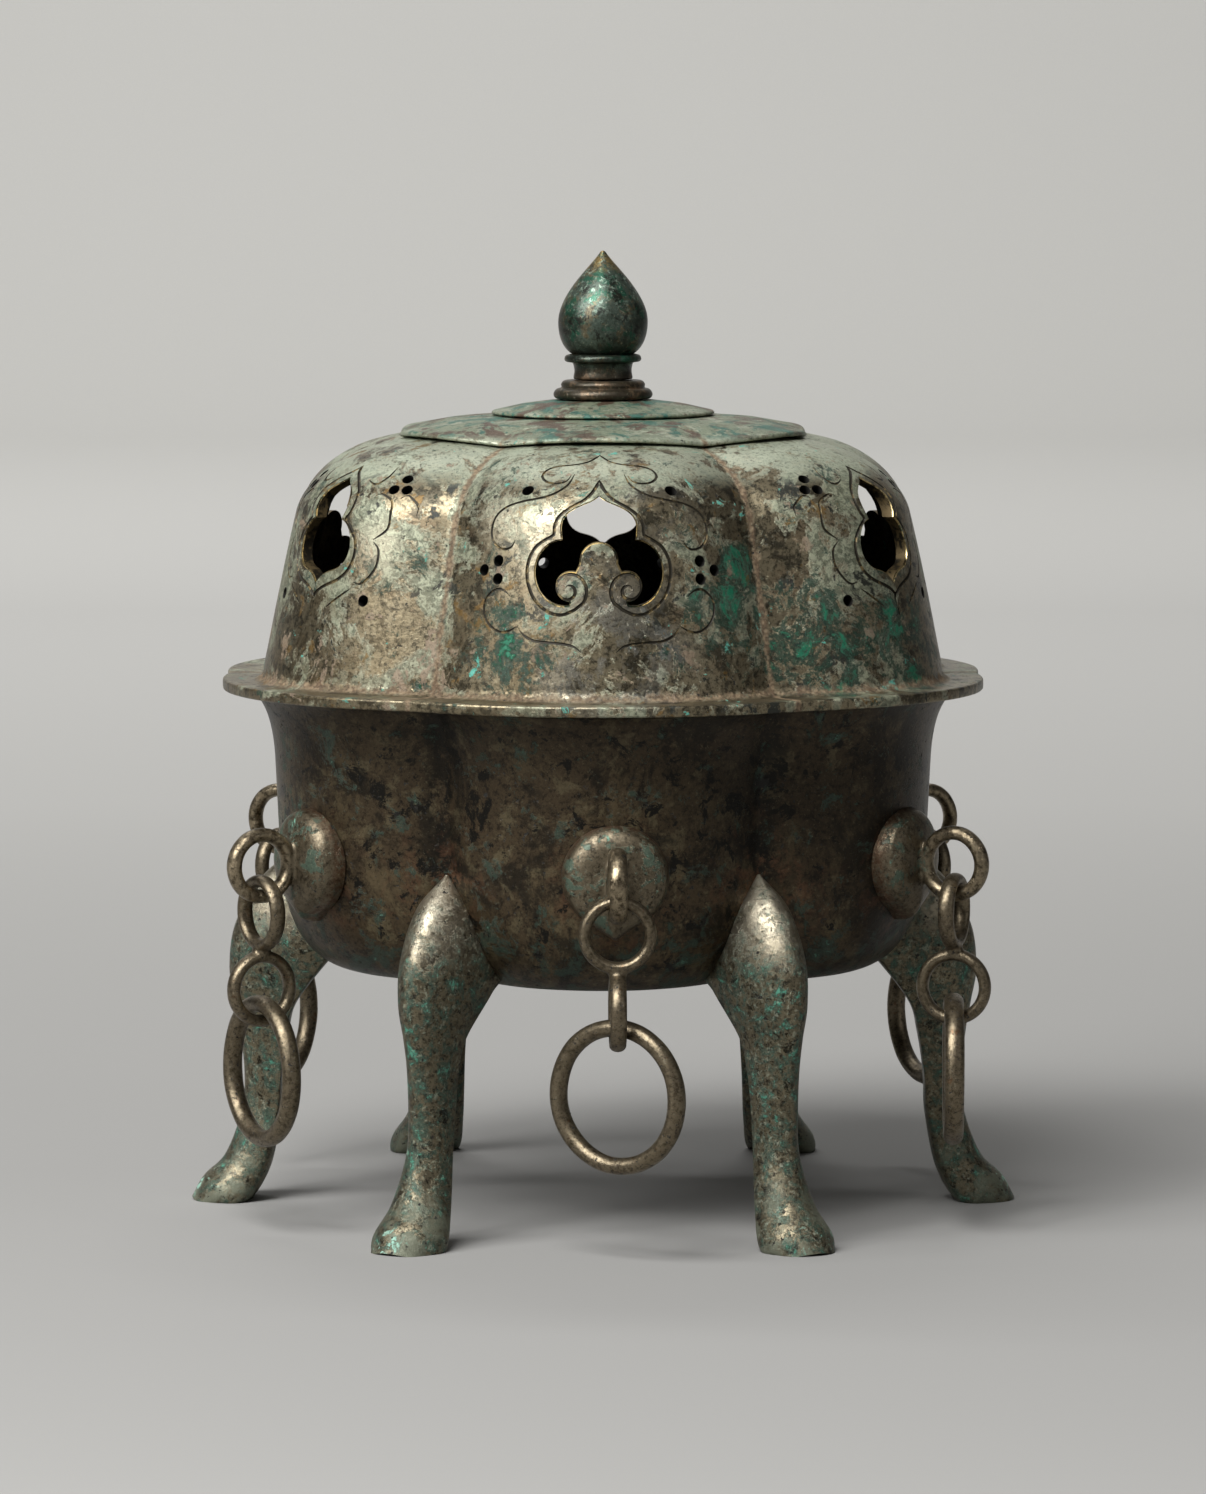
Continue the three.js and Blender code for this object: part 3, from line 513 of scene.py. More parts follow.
def brown_skin_and_painted_shade(tree):
    skin = Skin(tree, srgb("4a3e2d"), 0.7, 0.38)
    height = skin.axis(2)
    fine = skin.noise(520.0, 12.0, 9.0, 0.76)
    skin.tint(skin.patches(fine, 0.5, 0.1), srgb("231c12"))
    skin.tint(skin.flecks(34.0, 0.52, 13.0, 0.08) * 0.65, srgb("675a42"))
    skin.tint(skin.flecks(120.0, 0.54, 66.0, 0.05) * 0.55, srgb("71674e"))
    skin.tint(skin.flecks(48.0, 0.51, 16.0, 0.06) * 0.75, srgb("16130d"))
    # Painted shade: the upper band of the bowl, under the lid's flange, and its right side are
    # darkened towards black, as if shade fell there.
    upper = skin.patches(height, 0.1, 0.03) * 0.45
    right = zones(skin, ((76, -48, 102), 56), ((36, -84, 116), 36)) * 0.75
    skin.tint(upper.math("MAXIMUM", right), srgb("15110b"))
    # Painted shade: the grooves between the lobes are darkened in flecks, as shade falls in them.
    painted_groove_shade = ((0.006 - skin.from_groove()) / 0.004).clamp() * skin.flecks(150.0, 0.46, 67.0, 0.04)
    skin.tint(painted_groove_shade * 0.8, srgb("14110b"))
    fixed = seats(BOSS_AZIMUTHS, 88, 90) + seats(LEG_AZIMUTHS, 78, 88)
    heated = zones(skin, *[(place, 24) for place in fixed])
    reddened = skin.flecks(160.0, 0.5, 17.0, 0.08, heated * 0.1 - 0.05) * heated * 0.7
    skin.tint(reddened, srgb("6b4a35"))
    low = skin.patches(height * -1, -0.084, 0.02)
    crust = skin.noise(110.0, 14.0, 12.0, 0.8, 0.4)
    crusted = skin.patches(crust + low * 0.06, 0.555, 0.03) * 0.8
    skin.cover(crusted, srgb("2c3f34"), 0.35, 0.48, 0.05)
    skin.cover(skin.patches(crust + low * 0.03, 0.635, 0.02), srgb("4f7766"), 0.1, 0.6, 0.06)
    dark = zones(skin, ((-46, -80, 110), 30), ((40, -80, 108), 34))
    skin.tint(skin.flecks(150.0, 0.58, 18.0, 0.02, dark * 0.07), srgb("14120d"))
    skin.height = skin.height + fine * 0.1
    skin.speckle(19.0, pale="6f6852")
    pits(skin, 500.0, 0.63, 15.0)
    return skin.sockets()


bowl_finish_and_painted_shade = finish("dark_bronze", brown_skin_and_painted_shade)
print("bowl finish:", bowl_finish_and_painted_shade.name)

# %% Boss and chain finishes
# How far from the axis, in metres, a boss leaves the wall and its eye begins.
SEAT_RADIUS, EYE_RADIUS = 0.0895, 0.0955


def boss_skin(tree):
    skin = Skin(tree, srgb("6a604e"), 0.75, 0.36)
    fine = skin.noise(560.0, 61.0, 9.0, 0.76)
    skin.tint(skin.patches(fine, 0.5, 0.12), srgb("332d22"))
    skin.cover(skin.flecks(210.0, 0.54, 62.0, 0.03) * 0.9, srgb("46584a"), 0.4, 0.45, 0.05)
    skin.cover(skin.flecks(260.0, 0.63, 63.0, 0.02), srgb("6d9a86"), 0.1, 0.6, 0.06)
    radius = skin.from_axis()
    seat = (1 - skin.patches(radius, SEAT_RADIUS, 0.002)) * skin.patches(fine, 0.42, 0.1)
    skin.tint(seat * 0.7, srgb("5c4230"))
    eye_tone = skin.mix(skin.patches(fine, 0.49, 0.1), srgb("8d8069"), srgb("463d2f"))
    skin.cover(skin.patches(radius, EYE_RADIUS, 0.0015), eye_tone, 0.9, 0.32)
    skin.height = skin.height + fine * 0.1
    skin.speckle(65.0)
    pits(skin, 520.0, 0.64, 64.0)
    return skin.sockets()


def rubbed_bronze(tree):
    skin = Skin(tree, srgb("766b58"), 0.9, 0.37)
    fine = skin.noise(700.0, 41.0, 8.0, 0.74)
    skin.tint(skin.patches(fine, 0.5, 0.1), srgb("544b3b"))
    skin.cover(skin.flecks(300.0, 0.55, 42.0, 0.05) * 0.7, srgb("463c2d"), 0.6, 0.45)
    skin.tint(skin.flecks(260.0, 0.6, 44.0, 0.04) * 0.7, srgb("6b4c34"))
    skin.height = skin.height + fine * 0.09
    skin.speckle(45.0)
    pits(skin, 800.0, 0.61, 43.0)
    return skin.sockets()


boss_finish = finish("boss_bronze", boss_skin)
chain_finish = finish("worn_bronze", rubbed_bronze)
print("boss and chain finishes:", boss_finish.name, chain_finish.name)

# %% Finial finish
# Heights in metres where the colour of the finial changes.
NECK_HEIGHT, BUD_HEIGHT, TIP_HEIGHT = 0.2145, 0.226, 0.2405


def glossy_green(tree):
    skin = Skin(tree, srgb("48544a"), 0.6, 0.36)
    height = skin.axis(2)
    skin.tint(skin.flecks(150.0, 0.5, 21.0, 0.05), srgb("5d5642"))
    skin.tint(skin.flecks(190.0, 0.52, 22.0, 0.05), srgb("24513f"))
    skin.tint(skin.flecks(280.0, 0.53, 25.0, 0.05) * 0.9, srgb("1b1d17"))
    upper = skin.patches(height, BUD_HEIGHT, 0.012)
    skin.tint(skin.flecks(700.0, 0.54, 29.0, 0.06) * upper * 0.7, srgb("9db3a1"))
    skin.tint((1 - upper) * skin.flecks(120.0, 0.45, 72.0, 0.1) * 0.7, srgb("14150e"))
    brown = skin.mix(skin.flecks(200.0, 0.5, 26.0, 0.06), srgb("3b3226"), srgb("6b5743"))
    skin.cover((1 - skin.patches(height, NECK_HEIGHT, 0.002)) * 0.85, brown, 0.6, 0.4)
    tip = skin.patches(height, TIP_HEIGHT, 0.003) * skin.flecks(300.0, 0.45, 27.0, 0.1)
    skin.cover(tip, srgb("b39b66"), 0.95, 0.3)
    skin.height = skin.noise(260.0, 23.0, 9.0, 0.7) * 0.07
    skin.speckle(28.0)
    pits(skin, 520.0, 0.66, 24.0)
    return skin.sockets()


finial_finish = finish("green_bronze", glossy_green)
print("finial finish:", finial_finish.name)

# %% Leg finish
KNEE_HEIGHT = 0.068


def mottled_green(tree):
    skin = Skin(tree, srgb("736b57"), 0.85, 0.33)
    height = skin.axis(2)
    fine = skin.noise(620.0, 31.0, 9.0, 0.78)
    skin.tint(skin.patches(fine, 0.49, 0.1), srgb("36322a"))
    lower = 1 - skin.patches(height, KNEE_HEIGHT, 0.02)
    green = skin.noise(240.0, 32.0, 11.0, 0.8, 0.4) + lower * 0.03
    skin.cover(skin.patches(green, 0.515, 0.05) * 0.85, srgb("3f5448"), 0.5, 0.38, 0.04)
    streaks = zones(skin, ((38, -90, 38), 20), ((47, -88, 62), 16), ((-52, -88, 52), 12))
    skin.cover(skin.patches(green + streaks * 0.05, 0.61, 0.02), srgb("4b8a74"), 0.1, 0.5, 0.06)
    skin.tint(skin.flecks(210.0, 0.58, 35.0, 0.03) * 0.9, srgb("191811"))
    specks = skin.flecks(620.0, 0.58, 36.0, 0.05, lower * 0.02)
    skin.cover(specks * 0.55, srgb("9da28d"), 0.2, 0.55, 0.03)
    skin.speckle(38.0)
    bare = 1 - skin.flecks(260.0, 0.52, 39.0, 0.05) * 0.7
    knee = skin.patches(height, KNEE_HEIGHT, 0.018) * bare
    skin.cover(knee * 0.75, srgb("aea693"), 0.95, 0.4)
    foot = 1 - skin.patches(height, 0.004, 0.018)
    dull = skin.flecks(110.0, 0.5, 34.0, 0.1, foot * 0.08 - 0.04) * foot
    skin.cover(dull, srgb("6c6f5e"), 0.4, 0.5, 0.03)
    toes = zones(skin, ((-104, 0, 4), 11), ((-54, -92, 3), 9), ((56, -90, 4), 12), ((104, 0, 6), 8))
    chalky = skin.flecks(240.0, 0.56, 37.0, 0.03, toes * 0.12 - 0.06) * toes
    skin.cover(chalky, srgb("9fd0bd"), 0.0, 0.7, 0.08)
    skin.height = skin.height + fine * 0.1
    pits(skin, 560.0, 0.63, 33.0)
    return skin.sockets()


leg_finish = finish("leg_bronze", mottled_green)
print("leg finish:", leg_finish.name)

# %% [markdown]
# ## Tools for pieces
# A Geometry Nodes tree is a rule with named sizes. Each tree here is made once, given its sizes on
# a modifier, and its result becomes the piece's own plain mesh, because the model is exported
# without modifiers or instances.

# %% Rules
SOCKETS = {
    float: "NodeSocketFloat",
    int: "NodeSocketInt",
    bpy.types.Material: "NodeSocketMaterial",
    bpy.types.Object: "NodeSocketObject",
}


class Rule(Tree):
    """A Geometry Nodes tree with named inputs, whose values can be used in sums."""

    def __init__(self, name, **inputs):
        super().__init__(bpy.data.node_groups.new(name, "GeometryNodeTree"))
        sockets = self.tree.interface
        for side in ("INPUT", "OUTPUT"):
            sockets.new_socket("geometry", in_out=side, socket_type="NodeSocketGeometry")
        inputs["material"] = bpy.types.Material
        for title, value in inputs.items():
            if isinstance(value, type):
                sockets.new_socket(title, in_out="INPUT", socket_type=SOCKETS[value])
            else:
                item = sockets.new_socket(title, in_out="INPUT", socket_type=SOCKETS[type(value)])
                item.default_value = value
        self.start = self.tree.nodes.new("NodeGroupInput")

    def given(self, title):
        return Value(self, self.start.outputs[title])

    def vector(self, x, y, z):
        return self.node("ShaderNodeCombineXYZ", sockets={0: x, 1: y, 2: z})

    def named(self, attribute):
        settings = {"data_type": "FLOAT"}
        return self.node("GeometryNodeInputNamedAttribute", settings, {"Name": attribute})

    def end(self, geometry):
        """Finishes the rule: instances become real faces, and they get the piece's material."""
        real = self.node("GeometryNodeRealizeInstances", sockets={"Geometry": geometry})
        sockets = {"Geometry": real, "Material": self.given("material")}
        painted = self.node("GeometryNodeSetMaterial", sockets=sockets)
        last = self.tree.nodes.new("NodeGroupOutput")
        self.tree.links.new(painted.socket, last.inputs["geometry"])
        return self.tree


# %% Modifier tools
def settle(piece):
    """Turns what a piece's modifiers make into its own plain mesh."""
    depsgraph = bpy.context.evaluated_depsgraph_get()
    made = bpy.data.meshes.new_from_object(piece.evaluated_get(depsgraph), depsgraph=depsgraph)
    piece.modifiers.clear()
    piece.data = made
    return piece


def follow(piece, rule, **sizes):
    """Runs a rule on a piece. A modifier knows its inputs by identifier and not by title."""
    modifier = piece.modifiers.new(rule.name, "NODES")
    modifier.node_group = rule
    for item in rule.interface.items_tree:
        if item.in_out == "INPUT" and item.name in sizes:
            modifier[item.identifier] = sizes[item.name]
    return settle(piece)


def carve(piece, cutter):
    """Cuts a piece by another closed one, and clears the cutter away."""
    modifier = piece.modifiers.new("carve", "BOOLEAN")
    modifier.object = cutter
    modifier.operation = "DIFFERENCE"
    modifier.solver = "MANIFOLD"
    modifier.material_mode = "TRANSFER"
    settle(piece)
    bpy.data.objects.remove(cutter)
    return piece


# %% Mesh tools
def dress(piece, material):
    """Gives every face of a piece one material."""
    piece.data.materials.clear()
    piece.data.materials.append(material)


def smooth(piece, sharp=40):
    """Smooth shading, with a crease wherever faces turn by more than this many degrees."""
    piece.data.shade_smooth()
    piece.data.set_sharp_from_angle(angle=math.radians(sharp))
    return piece


def tidy_mesh(piece, merge=0.01 * MM):
    """Merges doubled points, drops what that flattens, and turns every face outwards."""
    work = bmesh.new()
    work.from_mesh(piece.data)
    bmesh.ops.remove_doubles(work, verts=work.verts, dist=merge)
    bmesh.ops.dissolve_degenerate(work, edges=work.edges, dist=merge)
    bmesh.ops.recalc_face_normals(work, faces=work.faces)
    work.to_mesh(piece.data)
    work.free()
    return piece


def give_points(piece, title, values, kind="FLOAT"):
    """Writes a value, or a vector, for each point of a piece. A rule reads it by its title."""
    layer = piece.data.attributes.new(title, kind, "POINT")
    key = "value" if kind == "FLOAT" else "vector"
    layer.data.foreach_set(key, np.ravel(values).astype(np.float32))


def quads(strips, length, closed_strips=True, closed_length=True):
    """Faces between strips of points, the points counted along each strip in turn."""
    faces = []
    for i in range(strips if closed_strips else strips - 1):
        here, there = i * length, (i + 1) % strips * length
        for k in range(length if closed_length else length - 1):
            after = (k + 1) % length
            faces.append((here + k, there + k, there + after, here + after))
    return faces


print("faces between 6 closed strips of 4 points:", len(quads(6, 4)))


# %% [markdown]
# ## Lobed castings
# The bowl, the lid and the crown plate share one rule. A profile through the middle of a lobe and
# one through a groove are both turned round the axis, and the wall swings between them as the arc
# of a circle through the two grooves and the middle. The rule also softens the groove, as sand
# casting does, and moves the wall by fractions of a millimetre, because none of this was machined.

# %% Profiles
def bezier(points, steps):
    """Points along a curve with three or four control points."""
    t = np.linspace(0, 1, steps + 1)[:, None]
    degree = len(points) - 1
    weights = [math.comb(degree, k) * t**k * (1 - t) ** (degree - k) for k in range(degree + 1)]
    return sum(weight * np.array(point) for weight, point in zip(weights, points))


def run(points, steps=1, rounding=0.0, arc=3):
    """Points along a path of straight stretches, with its inner corners rounded."""
    corners = [np.array(point, float) for point in points]
    path = [corners[0][None]]
    for before, corner, after in zip(corners, corners[1:], corners[2:]):
        ends = []
        for other in (before, after):
            reach = min(rounding, 0.45 * np.linalg.norm(other - corner))
            ends.append(corner + (other - corner) / np.linalg.norm(other - corner) * reach)
        path.append(stretch(path[-1][-1], ends[0], steps))
        if rounding:
            path.append(bezier([ends[0], corner, ends[1]], arc)[1:])
    path.append(stretch(path[-1][-1], corners[-1], steps))
    return np.vstack(path)


def stretch(start, end, steps):
    return np.linspace(start, end, steps + 1)[1:]


def between(a, b, c, d, t):
    """The point a share t of the way from b to c, on a smooth curve through all four."""
    bend = 2 * b + (c - a) * t + (2 * a - 5 * b + 4 * c - d) * t * t
    return 0.5 * bend + 0.5 * (3 * b - a - 3 * c + d) * t**3


def joined(*paths):
    """Paths that follow each other, without the points that they share."""
    return np.vstack([paths[0], *[path[1:] for path in paths[1:]]])


def beside(path, distance):
    """The path moved to the left of its own direction."""
    along = np.gradient(path, axis=0)
    along /= np.linalg.norm(along, axis=1)[:, None]
    return path + distance * np.column_stack([-along[:, 1], along[:, 0]])


print("points on a rounded corner:", len(run([(0, 0), (1, 0), (1, 1)], rounding=0.2)))


# %% Rule for a lobed wall
def lobed_rule():
    rule = Rule("lobed wall", lobes=LOBES, softness=0.012, unevenness=0.0, grain=28.0, seed=1)
    # The angle from the middle of the lobe, eased where the wall turns back at a groove.
    azimuth = rule.named("azimuth")
    pitch = rule.given("lobes").math("POWER", -1) * math.tau
    half = pitch * 0.5
    away = (azimuth - (azimuth / pitch).math("ROUND") * pitch).math("ABSOLUTE")
    gap = half - away
    softened = (gap * gap + rule.given("softness") * rule.given("softness")).math("SQRT")
    angle = half - softened

    # How far out the circle through both grooves and the middle lies at that angle.
    middle, groove = rule.named("middle_radius"), rule.named("groove_radius")
    reach = groove * half.math("COSINE")
    centre = (middle * middle - groove * groove) / ((middle - reach) * 2)
    across = centre * angle.math("SINE")
    chord = ((middle - centre) * (middle - centre) - across * across).math("SQRT")
    radius = centre * angle.math("COSINE") + chord

    # The height swings from that of the middle to that of the groove.
    share = (angle / half) * (angle / half)
    low, high = rule.named("middle_height"), rule.named("groove_height")
    height = low + (high - low) * share
    place = rule.vector(radius * azimuth.math("SINE"), radius * azimuth.math("COSINE") * -1, height)

    geometry = rule.node(
        "GeometryNodeSetPosition", sockets={"Geometry": rule.given("geometry"), "Position": place}
    )
    return rule.end(uneven(rule, geometry))


def uneven(rule, geometry):
    """Moves a surface a little, in slow waves, as wax and sand leave it."""
    place = rule.node("GeometryNodeInputPosition")
    waves = rule.node(
        "ShaderNodeTexNoise",
        {"noise_dimensions": "4D"},
        {"Vector": place, "W": rule.given("seed"), "Scale": rule.given("grain"), "Detail": 2.0},
        output="Color",
    )
    half = (0.5, 0.5, 0.5)
    centred = rule.node("ShaderNodeVectorMath", {"operation": "SUBTRACT"}, {0: waves, 1: half})
    offset = rule.node(
        "ShaderNodeVectorMath",
        {"operation": "SCALE"},
        {0: centred, "Scale": rule.given("unevenness") * 2},
    )
    return rule.node("GeometryNodeSetPosition", sockets={"Geometry": geometry, "Offset": offset})


lobed = lobed_rule()
print("nodes in the lobed rule:", len(lobed.nodes))


# %% Lobed casting
def lobed_casting(name, middle, groove, closed=False, steps=66, **sizes):
    """A casting from its two profiles, whose points pair up. Sizes go to the lobed rule."""
    columns, rows = LOBES * steps, len(middle)
    points = np.zeros((columns * rows, 3))
    piece = new_object(name, points, quads(columns, rows, closed_length=closed))
    values = {
        "azimuth": np.repeat(np.arange(columns) * math.tau / columns, rows),
        "middle_radius": np.tile(middle[:, 0], columns),
        "middle_height": np.tile(middle[:, 1], columns),
        "groove_radius": np.tile(groove[:, 0], columns),
        "groove_height": np.tile(groove[:, 1], columns),
    }
    for title, column in values.items():
        give_points(piece, title, column)
    follow(piece, lobed, **sizes)
    for title in values:
        if title in piece.data.attributes:
            piece.data.attributes.remove(piece.data.attributes[title])
    return tidy_mesh(piece)


# %% [markdown]
# ## The bowl
# A deep cup with a flat underside, a generous corner and a lip that turns out under the lid. The
# profiles run from the middle of the underside, up the outside, over the lip and down the inside.

# %% Bowl
BOWL_BASE = 63 * MM
RIM = 134.3 * MM
BELLY = 88.4 * MM
BELLY_GROOVE = 11.2 * MM
BOWL_WALL = 3 * MM


def bowl_wall(groove):
    """The outside from the edge of the underside up to the lip, drawn in by so much."""
    belly = BELLY - groove
    swollen = belly + 1.3 * MM
    corner_width, corner_height = 22.4 * MM, 29 * MM
    flare_width, flare_height = 4.8 * MM, 16 * MM
    corner = bezier(
        [
            (belly - corner_width, BOWL_BASE),
            (belly - 0.37 * corner_width, BOWL_BASE),
            (belly - 0.04 * corner_width, BOWL_BASE + 0.38 * corner_height),
            (belly, BOWL_BASE + corner_height),
        ],
        24,
    )
    wall = run([corner[-1], (swollen, RIM - flare_height)], 12)
    flare = bezier(
        [
            (swollen, RIM - flare_height),
            (swollen + 0.15 * flare_width, RIM - 0.3 * flare_height),
            (swollen + flare_width, RIM - 0.5 * MM),
        ],
        12,
    )
    return joined(corner, wall, flare)


def bowl_profile(groove):
    outer = bowl_wall(groove)
    inner = beside(outer, BOWL_WALL)[:-3:2][::-1]
    lip = outer[-1][0]
    rim = run([outer[-1], (lip - 0.1 * MM, RIM), (lip - 3.6 * MM, RIM), inner[0]], 2, 0.4 * MM)
    floor = run([(0, BOWL_BASE), outer[0]], 6)
    bottom = run([inner[-1], (0, inner[-1][1])], 5)
    return joined(floor, outer, rim, inner, bottom)


bowl = lobed_casting(
    "cast_bowl", bowl_profile(0), bowl_profile(BELLY_GROOVE), unevenness=0.16 * MM, seed=4
)
smooth(bowl)
print("bowl:", len(bowl.data.polygons), "faces")

# %% [markdown]
# ## The lid
# Flange, locating tongue and dome are one hollow casting. Its closed profile starts in the hole for
# the tang of the finial, comes down the outside of the dome, goes round the flange and the tongue,
# and climbs up the inside, 3 mm away from the outside.

# %% Outline of the dome
FLANGE_UNDER = 134.6 * MM
FLANGE_TOP = 137.4 * MM
DOME_SEAT = FLANGE_TOP + 62 * MM
TANG_HOLE = 1.9 * MM
LID_WALL = 3 * MM


def mix(low, high, share):
    return low + (high - low) * share


def dome_outline(foot, shoulder, brow, seat, steps):
    """The dome's outside from its fillet on the flange to the seat of the crown plate."""
    start = FLANGE_TOP + 3.8 * MM
    shoulder_height = FLANGE_TOP + 43 * MM

    def above(share):
        return mix(shoulder_height, DOME_SEAT, share)

    fillet = [(foot + 3.8 * MM, FLANGE_TOP), (foot, FLANGE_TOP), (foot, start)]
    wall = [
        (foot, start),
        (mix(foot, shoulder, 0.16), mix(start, shoulder_height, 0.16)),
        (mix(foot, shoulder, 0.58), mix(start, shoulder_height, 0.64)),
        (shoulder, shoulder_height),
    ]
    turn = [
        (shoulder, shoulder_height),
        (mix(shoulder, brow, 0.06), above(0.27)),
        (mix(shoulder, brow, 0.37), above(0.64)),
        (brow, above(0.84)),
    ]
    top = [(brow, above(0.84)), (mix(brow, seat, 0.5), above(0.96)), (seat, above(1))]
    return [bezier(points, n) for points, n in zip([fillet, wall, turn, top], steps)]


print("the dome rises", round((DOME_SEAT - FLANGE_TOP) / MM), "mm above the flange")


# %% Lid before it is cut
def lid_profile(groove):
    radii = [92 * MM, 84 * MM, 66 * MM, 50 * MM]
    depths = [9.2 * MM, 11.3 * MM, 12.4 * MM, 8 * MM]
    sizes = [radius - groove * depth for radius, depth in zip(radii, depths)]
    outer = joined(*dome_outline(*sizes, [6, 22, 18, 6]))[::-1]
    inner = beside(joined(*dome_outline(*sizes, [6, 9, 8, 3])[1:]), LID_WALL)
    edge = (101 - 4.5 * groove) * MM
    tongue = bowl_mouth(groove * BELLY_GROOVE) - 0.5 * MM
    bottom = FLANGE_UNDER - 5 * MM
    flange = run(
        [
            outer[-1],
            (edge, FLANGE_TOP),
            (edge, FLANGE_UNDER),
            (tongue, FLANGE_UNDER),
            (tongue, bottom),
            (tongue - 2 * MM, bottom),
            (tongue - 2 * MM, FLANGE_TOP),
        ],
        2,
        0.7 * MM,
    )
    start = run([(TANG_HOLE, DOME_SEAT), outer[0]], 3)
    end = run([inner[-1], (TANG_HOLE, inner[-1][1])], 3)
    return np.vstack([start, outer[1:], flange[1:], inner, end[1:]])


def bowl_mouth(groove):
    """Inner radius of the bowl just below its rim, where the tongue stands."""
    inner = beside(bowl_wall(groove), BOWL_WALL)
    return np.interp(FLANGE_UNDER - 5 * MM, inner[:, 1], inner[:, 0])


lid = lobed_casting(
    "cast_lid", lid_profile(0), lid_profile(1), closed=True, softness=0.02,
    unevenness=0.22 * MM, grain=22.0, seed=9,
)
print("lid before cutting:", len(lid.data.polygons), "faces")

# %% [markdown]
# ## Where the ornament lies
# The cutter drew every lobe's ornament flat, as seen from straight in front of the lobe. Here it
# is drawn in the same way, as width from the middle of the lobe against height, in millimetres.
# A ray shot at the lid from the front finds the place of each point on the metal.

# %% Placing the ornament
LOBE_AZIMUTHS = [-0.7, 57, 120, 180, 240, 304]
OUTSIDE = 150 * MM
TREFOILS, GOURDS = LOBE_AZIMUTHS[0::2], LOBE_AZIMUTHS[1::2]


def facing(azimuth):
    """Outward and sideways directions at a number of degrees round from the front."""
    turn = math.radians(azimuth)
    outward = Vector((math.sin(turn), -math.cos(turn), 0))
    return outward, Vector((math.cos(turn), math.sin(turn), 0))


metal = BVHTree.FromPolygons(
    [v.co for v in lid.data.vertices], [tuple(p.vertices) for p in lid.data.polygons]
)


def on_lid(azimuth, width, height):
    """Place and outward normal of the point of the lid at this width and height of a lobe."""
    outward, sideways = facing(azimuth)
    start = sideways * width * MM + outward * OUTSIDE + Vector((0, 0, height * MM))
    place, normal, _, _ = metal.ray_cast(start, -outward)
    return place, normal


print("the front lobe reaches out", round(-on_lid(0, 0, 165)[0].y / MM, 1), "mm")


# %% Lines
def smooth_line(points, step=0.9):
    """A curve through the points, with one point each so many millimetres."""
    points = np.array(points, float)
    ends = [2 * points[0] - points[1], 2 * points[-1] - points[-2]]
    padded = np.vstack([ends[0], points, ends[1]])
    line = [points[0]]
    for a, b, c, d in zip(padded, padded[1:], padded[2:], padded[3:]):
        pieces = max(1, round(float(np.linalg.norm(c - b)) / step))
        line += [between(a, b, c, d, t) for t in np.linspace(0, 1, pieces + 1)[1:]]
    return np.array(line)


def mirrored(line):
    return line * np.array([-1, 1])


def both_sides(line):
    """A line that starts in the middle of the lobe, with its mirror image before it."""
    return np.vstack([mirrored(line)[:0:-1], line])


def arc(centre, radii, start, end, step=0.9):
    """Points round an ellipse between two angles in degrees."""
    length = abs(math.radians(end - start)) * max(radii)
    turn = np.radians(np.linspace(start, end, max(3, round(length / step)) + 1))
    return on_circle(centre, radii, turn)


def on_circle(centre, radii, turn):
    """Points at some angles in radians. A circle's radii may change from point to point."""
    across, up = centre[0] + radii[0] * np.cos(turn), centre[1] + radii[1] * np.sin(turn)
    return np.column_stack([across, up])


# %% [markdown]
# ## Openings
# Each lobe has one large opening, by turns a trefoil with an ogee point, into which a tongue with
# two volutes stands up, and a gourd that is pointed at both ends. Each is drawn from the top to
# the bottom on its right side and mirrored, then pushed through the wall from the front.

# %% Outlines of the openings
def trefoil_outline():
    """The right side: ogee, shoulder, large bay, small bay, and the tongue's tip."""
    tip, cusp, half = 187.8, 177.2, 9.2
    bulge, neck = mix(cusp, tip, 0.33), mix(cusp, tip, 0.78)
    ogee = bezier([(0, tip), (0.2 * half, neck), (0.94 * half, neck), (half, bulge)], 12)
    right = [
        ogee,
        bezier([(half, bulge), (half, mix(cusp, bulge, 0.4)), (0.97 * half, cusp)], 3)[1:],
        arc((8.6, 169.2), (7.1, 8), 80, -100),
        arc((6.9, 165.9), (3.8, 3.8), -88, 108),
        arc((0, 172), (4.8, 4.8), -6, 90),
    ]
    return np.vstack(right)


def gourd_outline():
    """The right side: upper bulb, waist, lower bulb and the point below."""
    tip, waist, foot = 190.3, 180.2, 164.5
    shoulder, hip, belly = mix(waist, tip, 0.75), mix(foot, waist, 0.95), mix(foot, waist, 0.3)
    upper, narrow, lower = 6.4, 5.2, 9.6
    turn = (0.5 * lower, belly - 1.6)
    return joined(
        bezier([(0, tip), (0.35 * upper, shoulder), (1.3 * upper, shoulder), (narrow, waist)], 12),
        bezier([(narrow, waist), (lower, hip), (1.35 * lower, belly), turn], 16),
        bezier([turn, (0.15 * lower, belly - 2.4), (0, foot)], 6),
    )


def closed_outline(right):
    """The right side, and its mirror image from the bottom back up to the top."""
    return np.vstack([right[:-1], mirrored(right)[:0:-1]])


outlines = {"trefoil": (trefoil_outline(), TREFOILS), "gourd": (gourd_outline(), GOURDS)}
print("points on the right sides:", [len(right) for right, azimuths in outlines.values()])

# %% Cut the openings
CUT_DEPTHS = (20 * MM, 110 * MM)


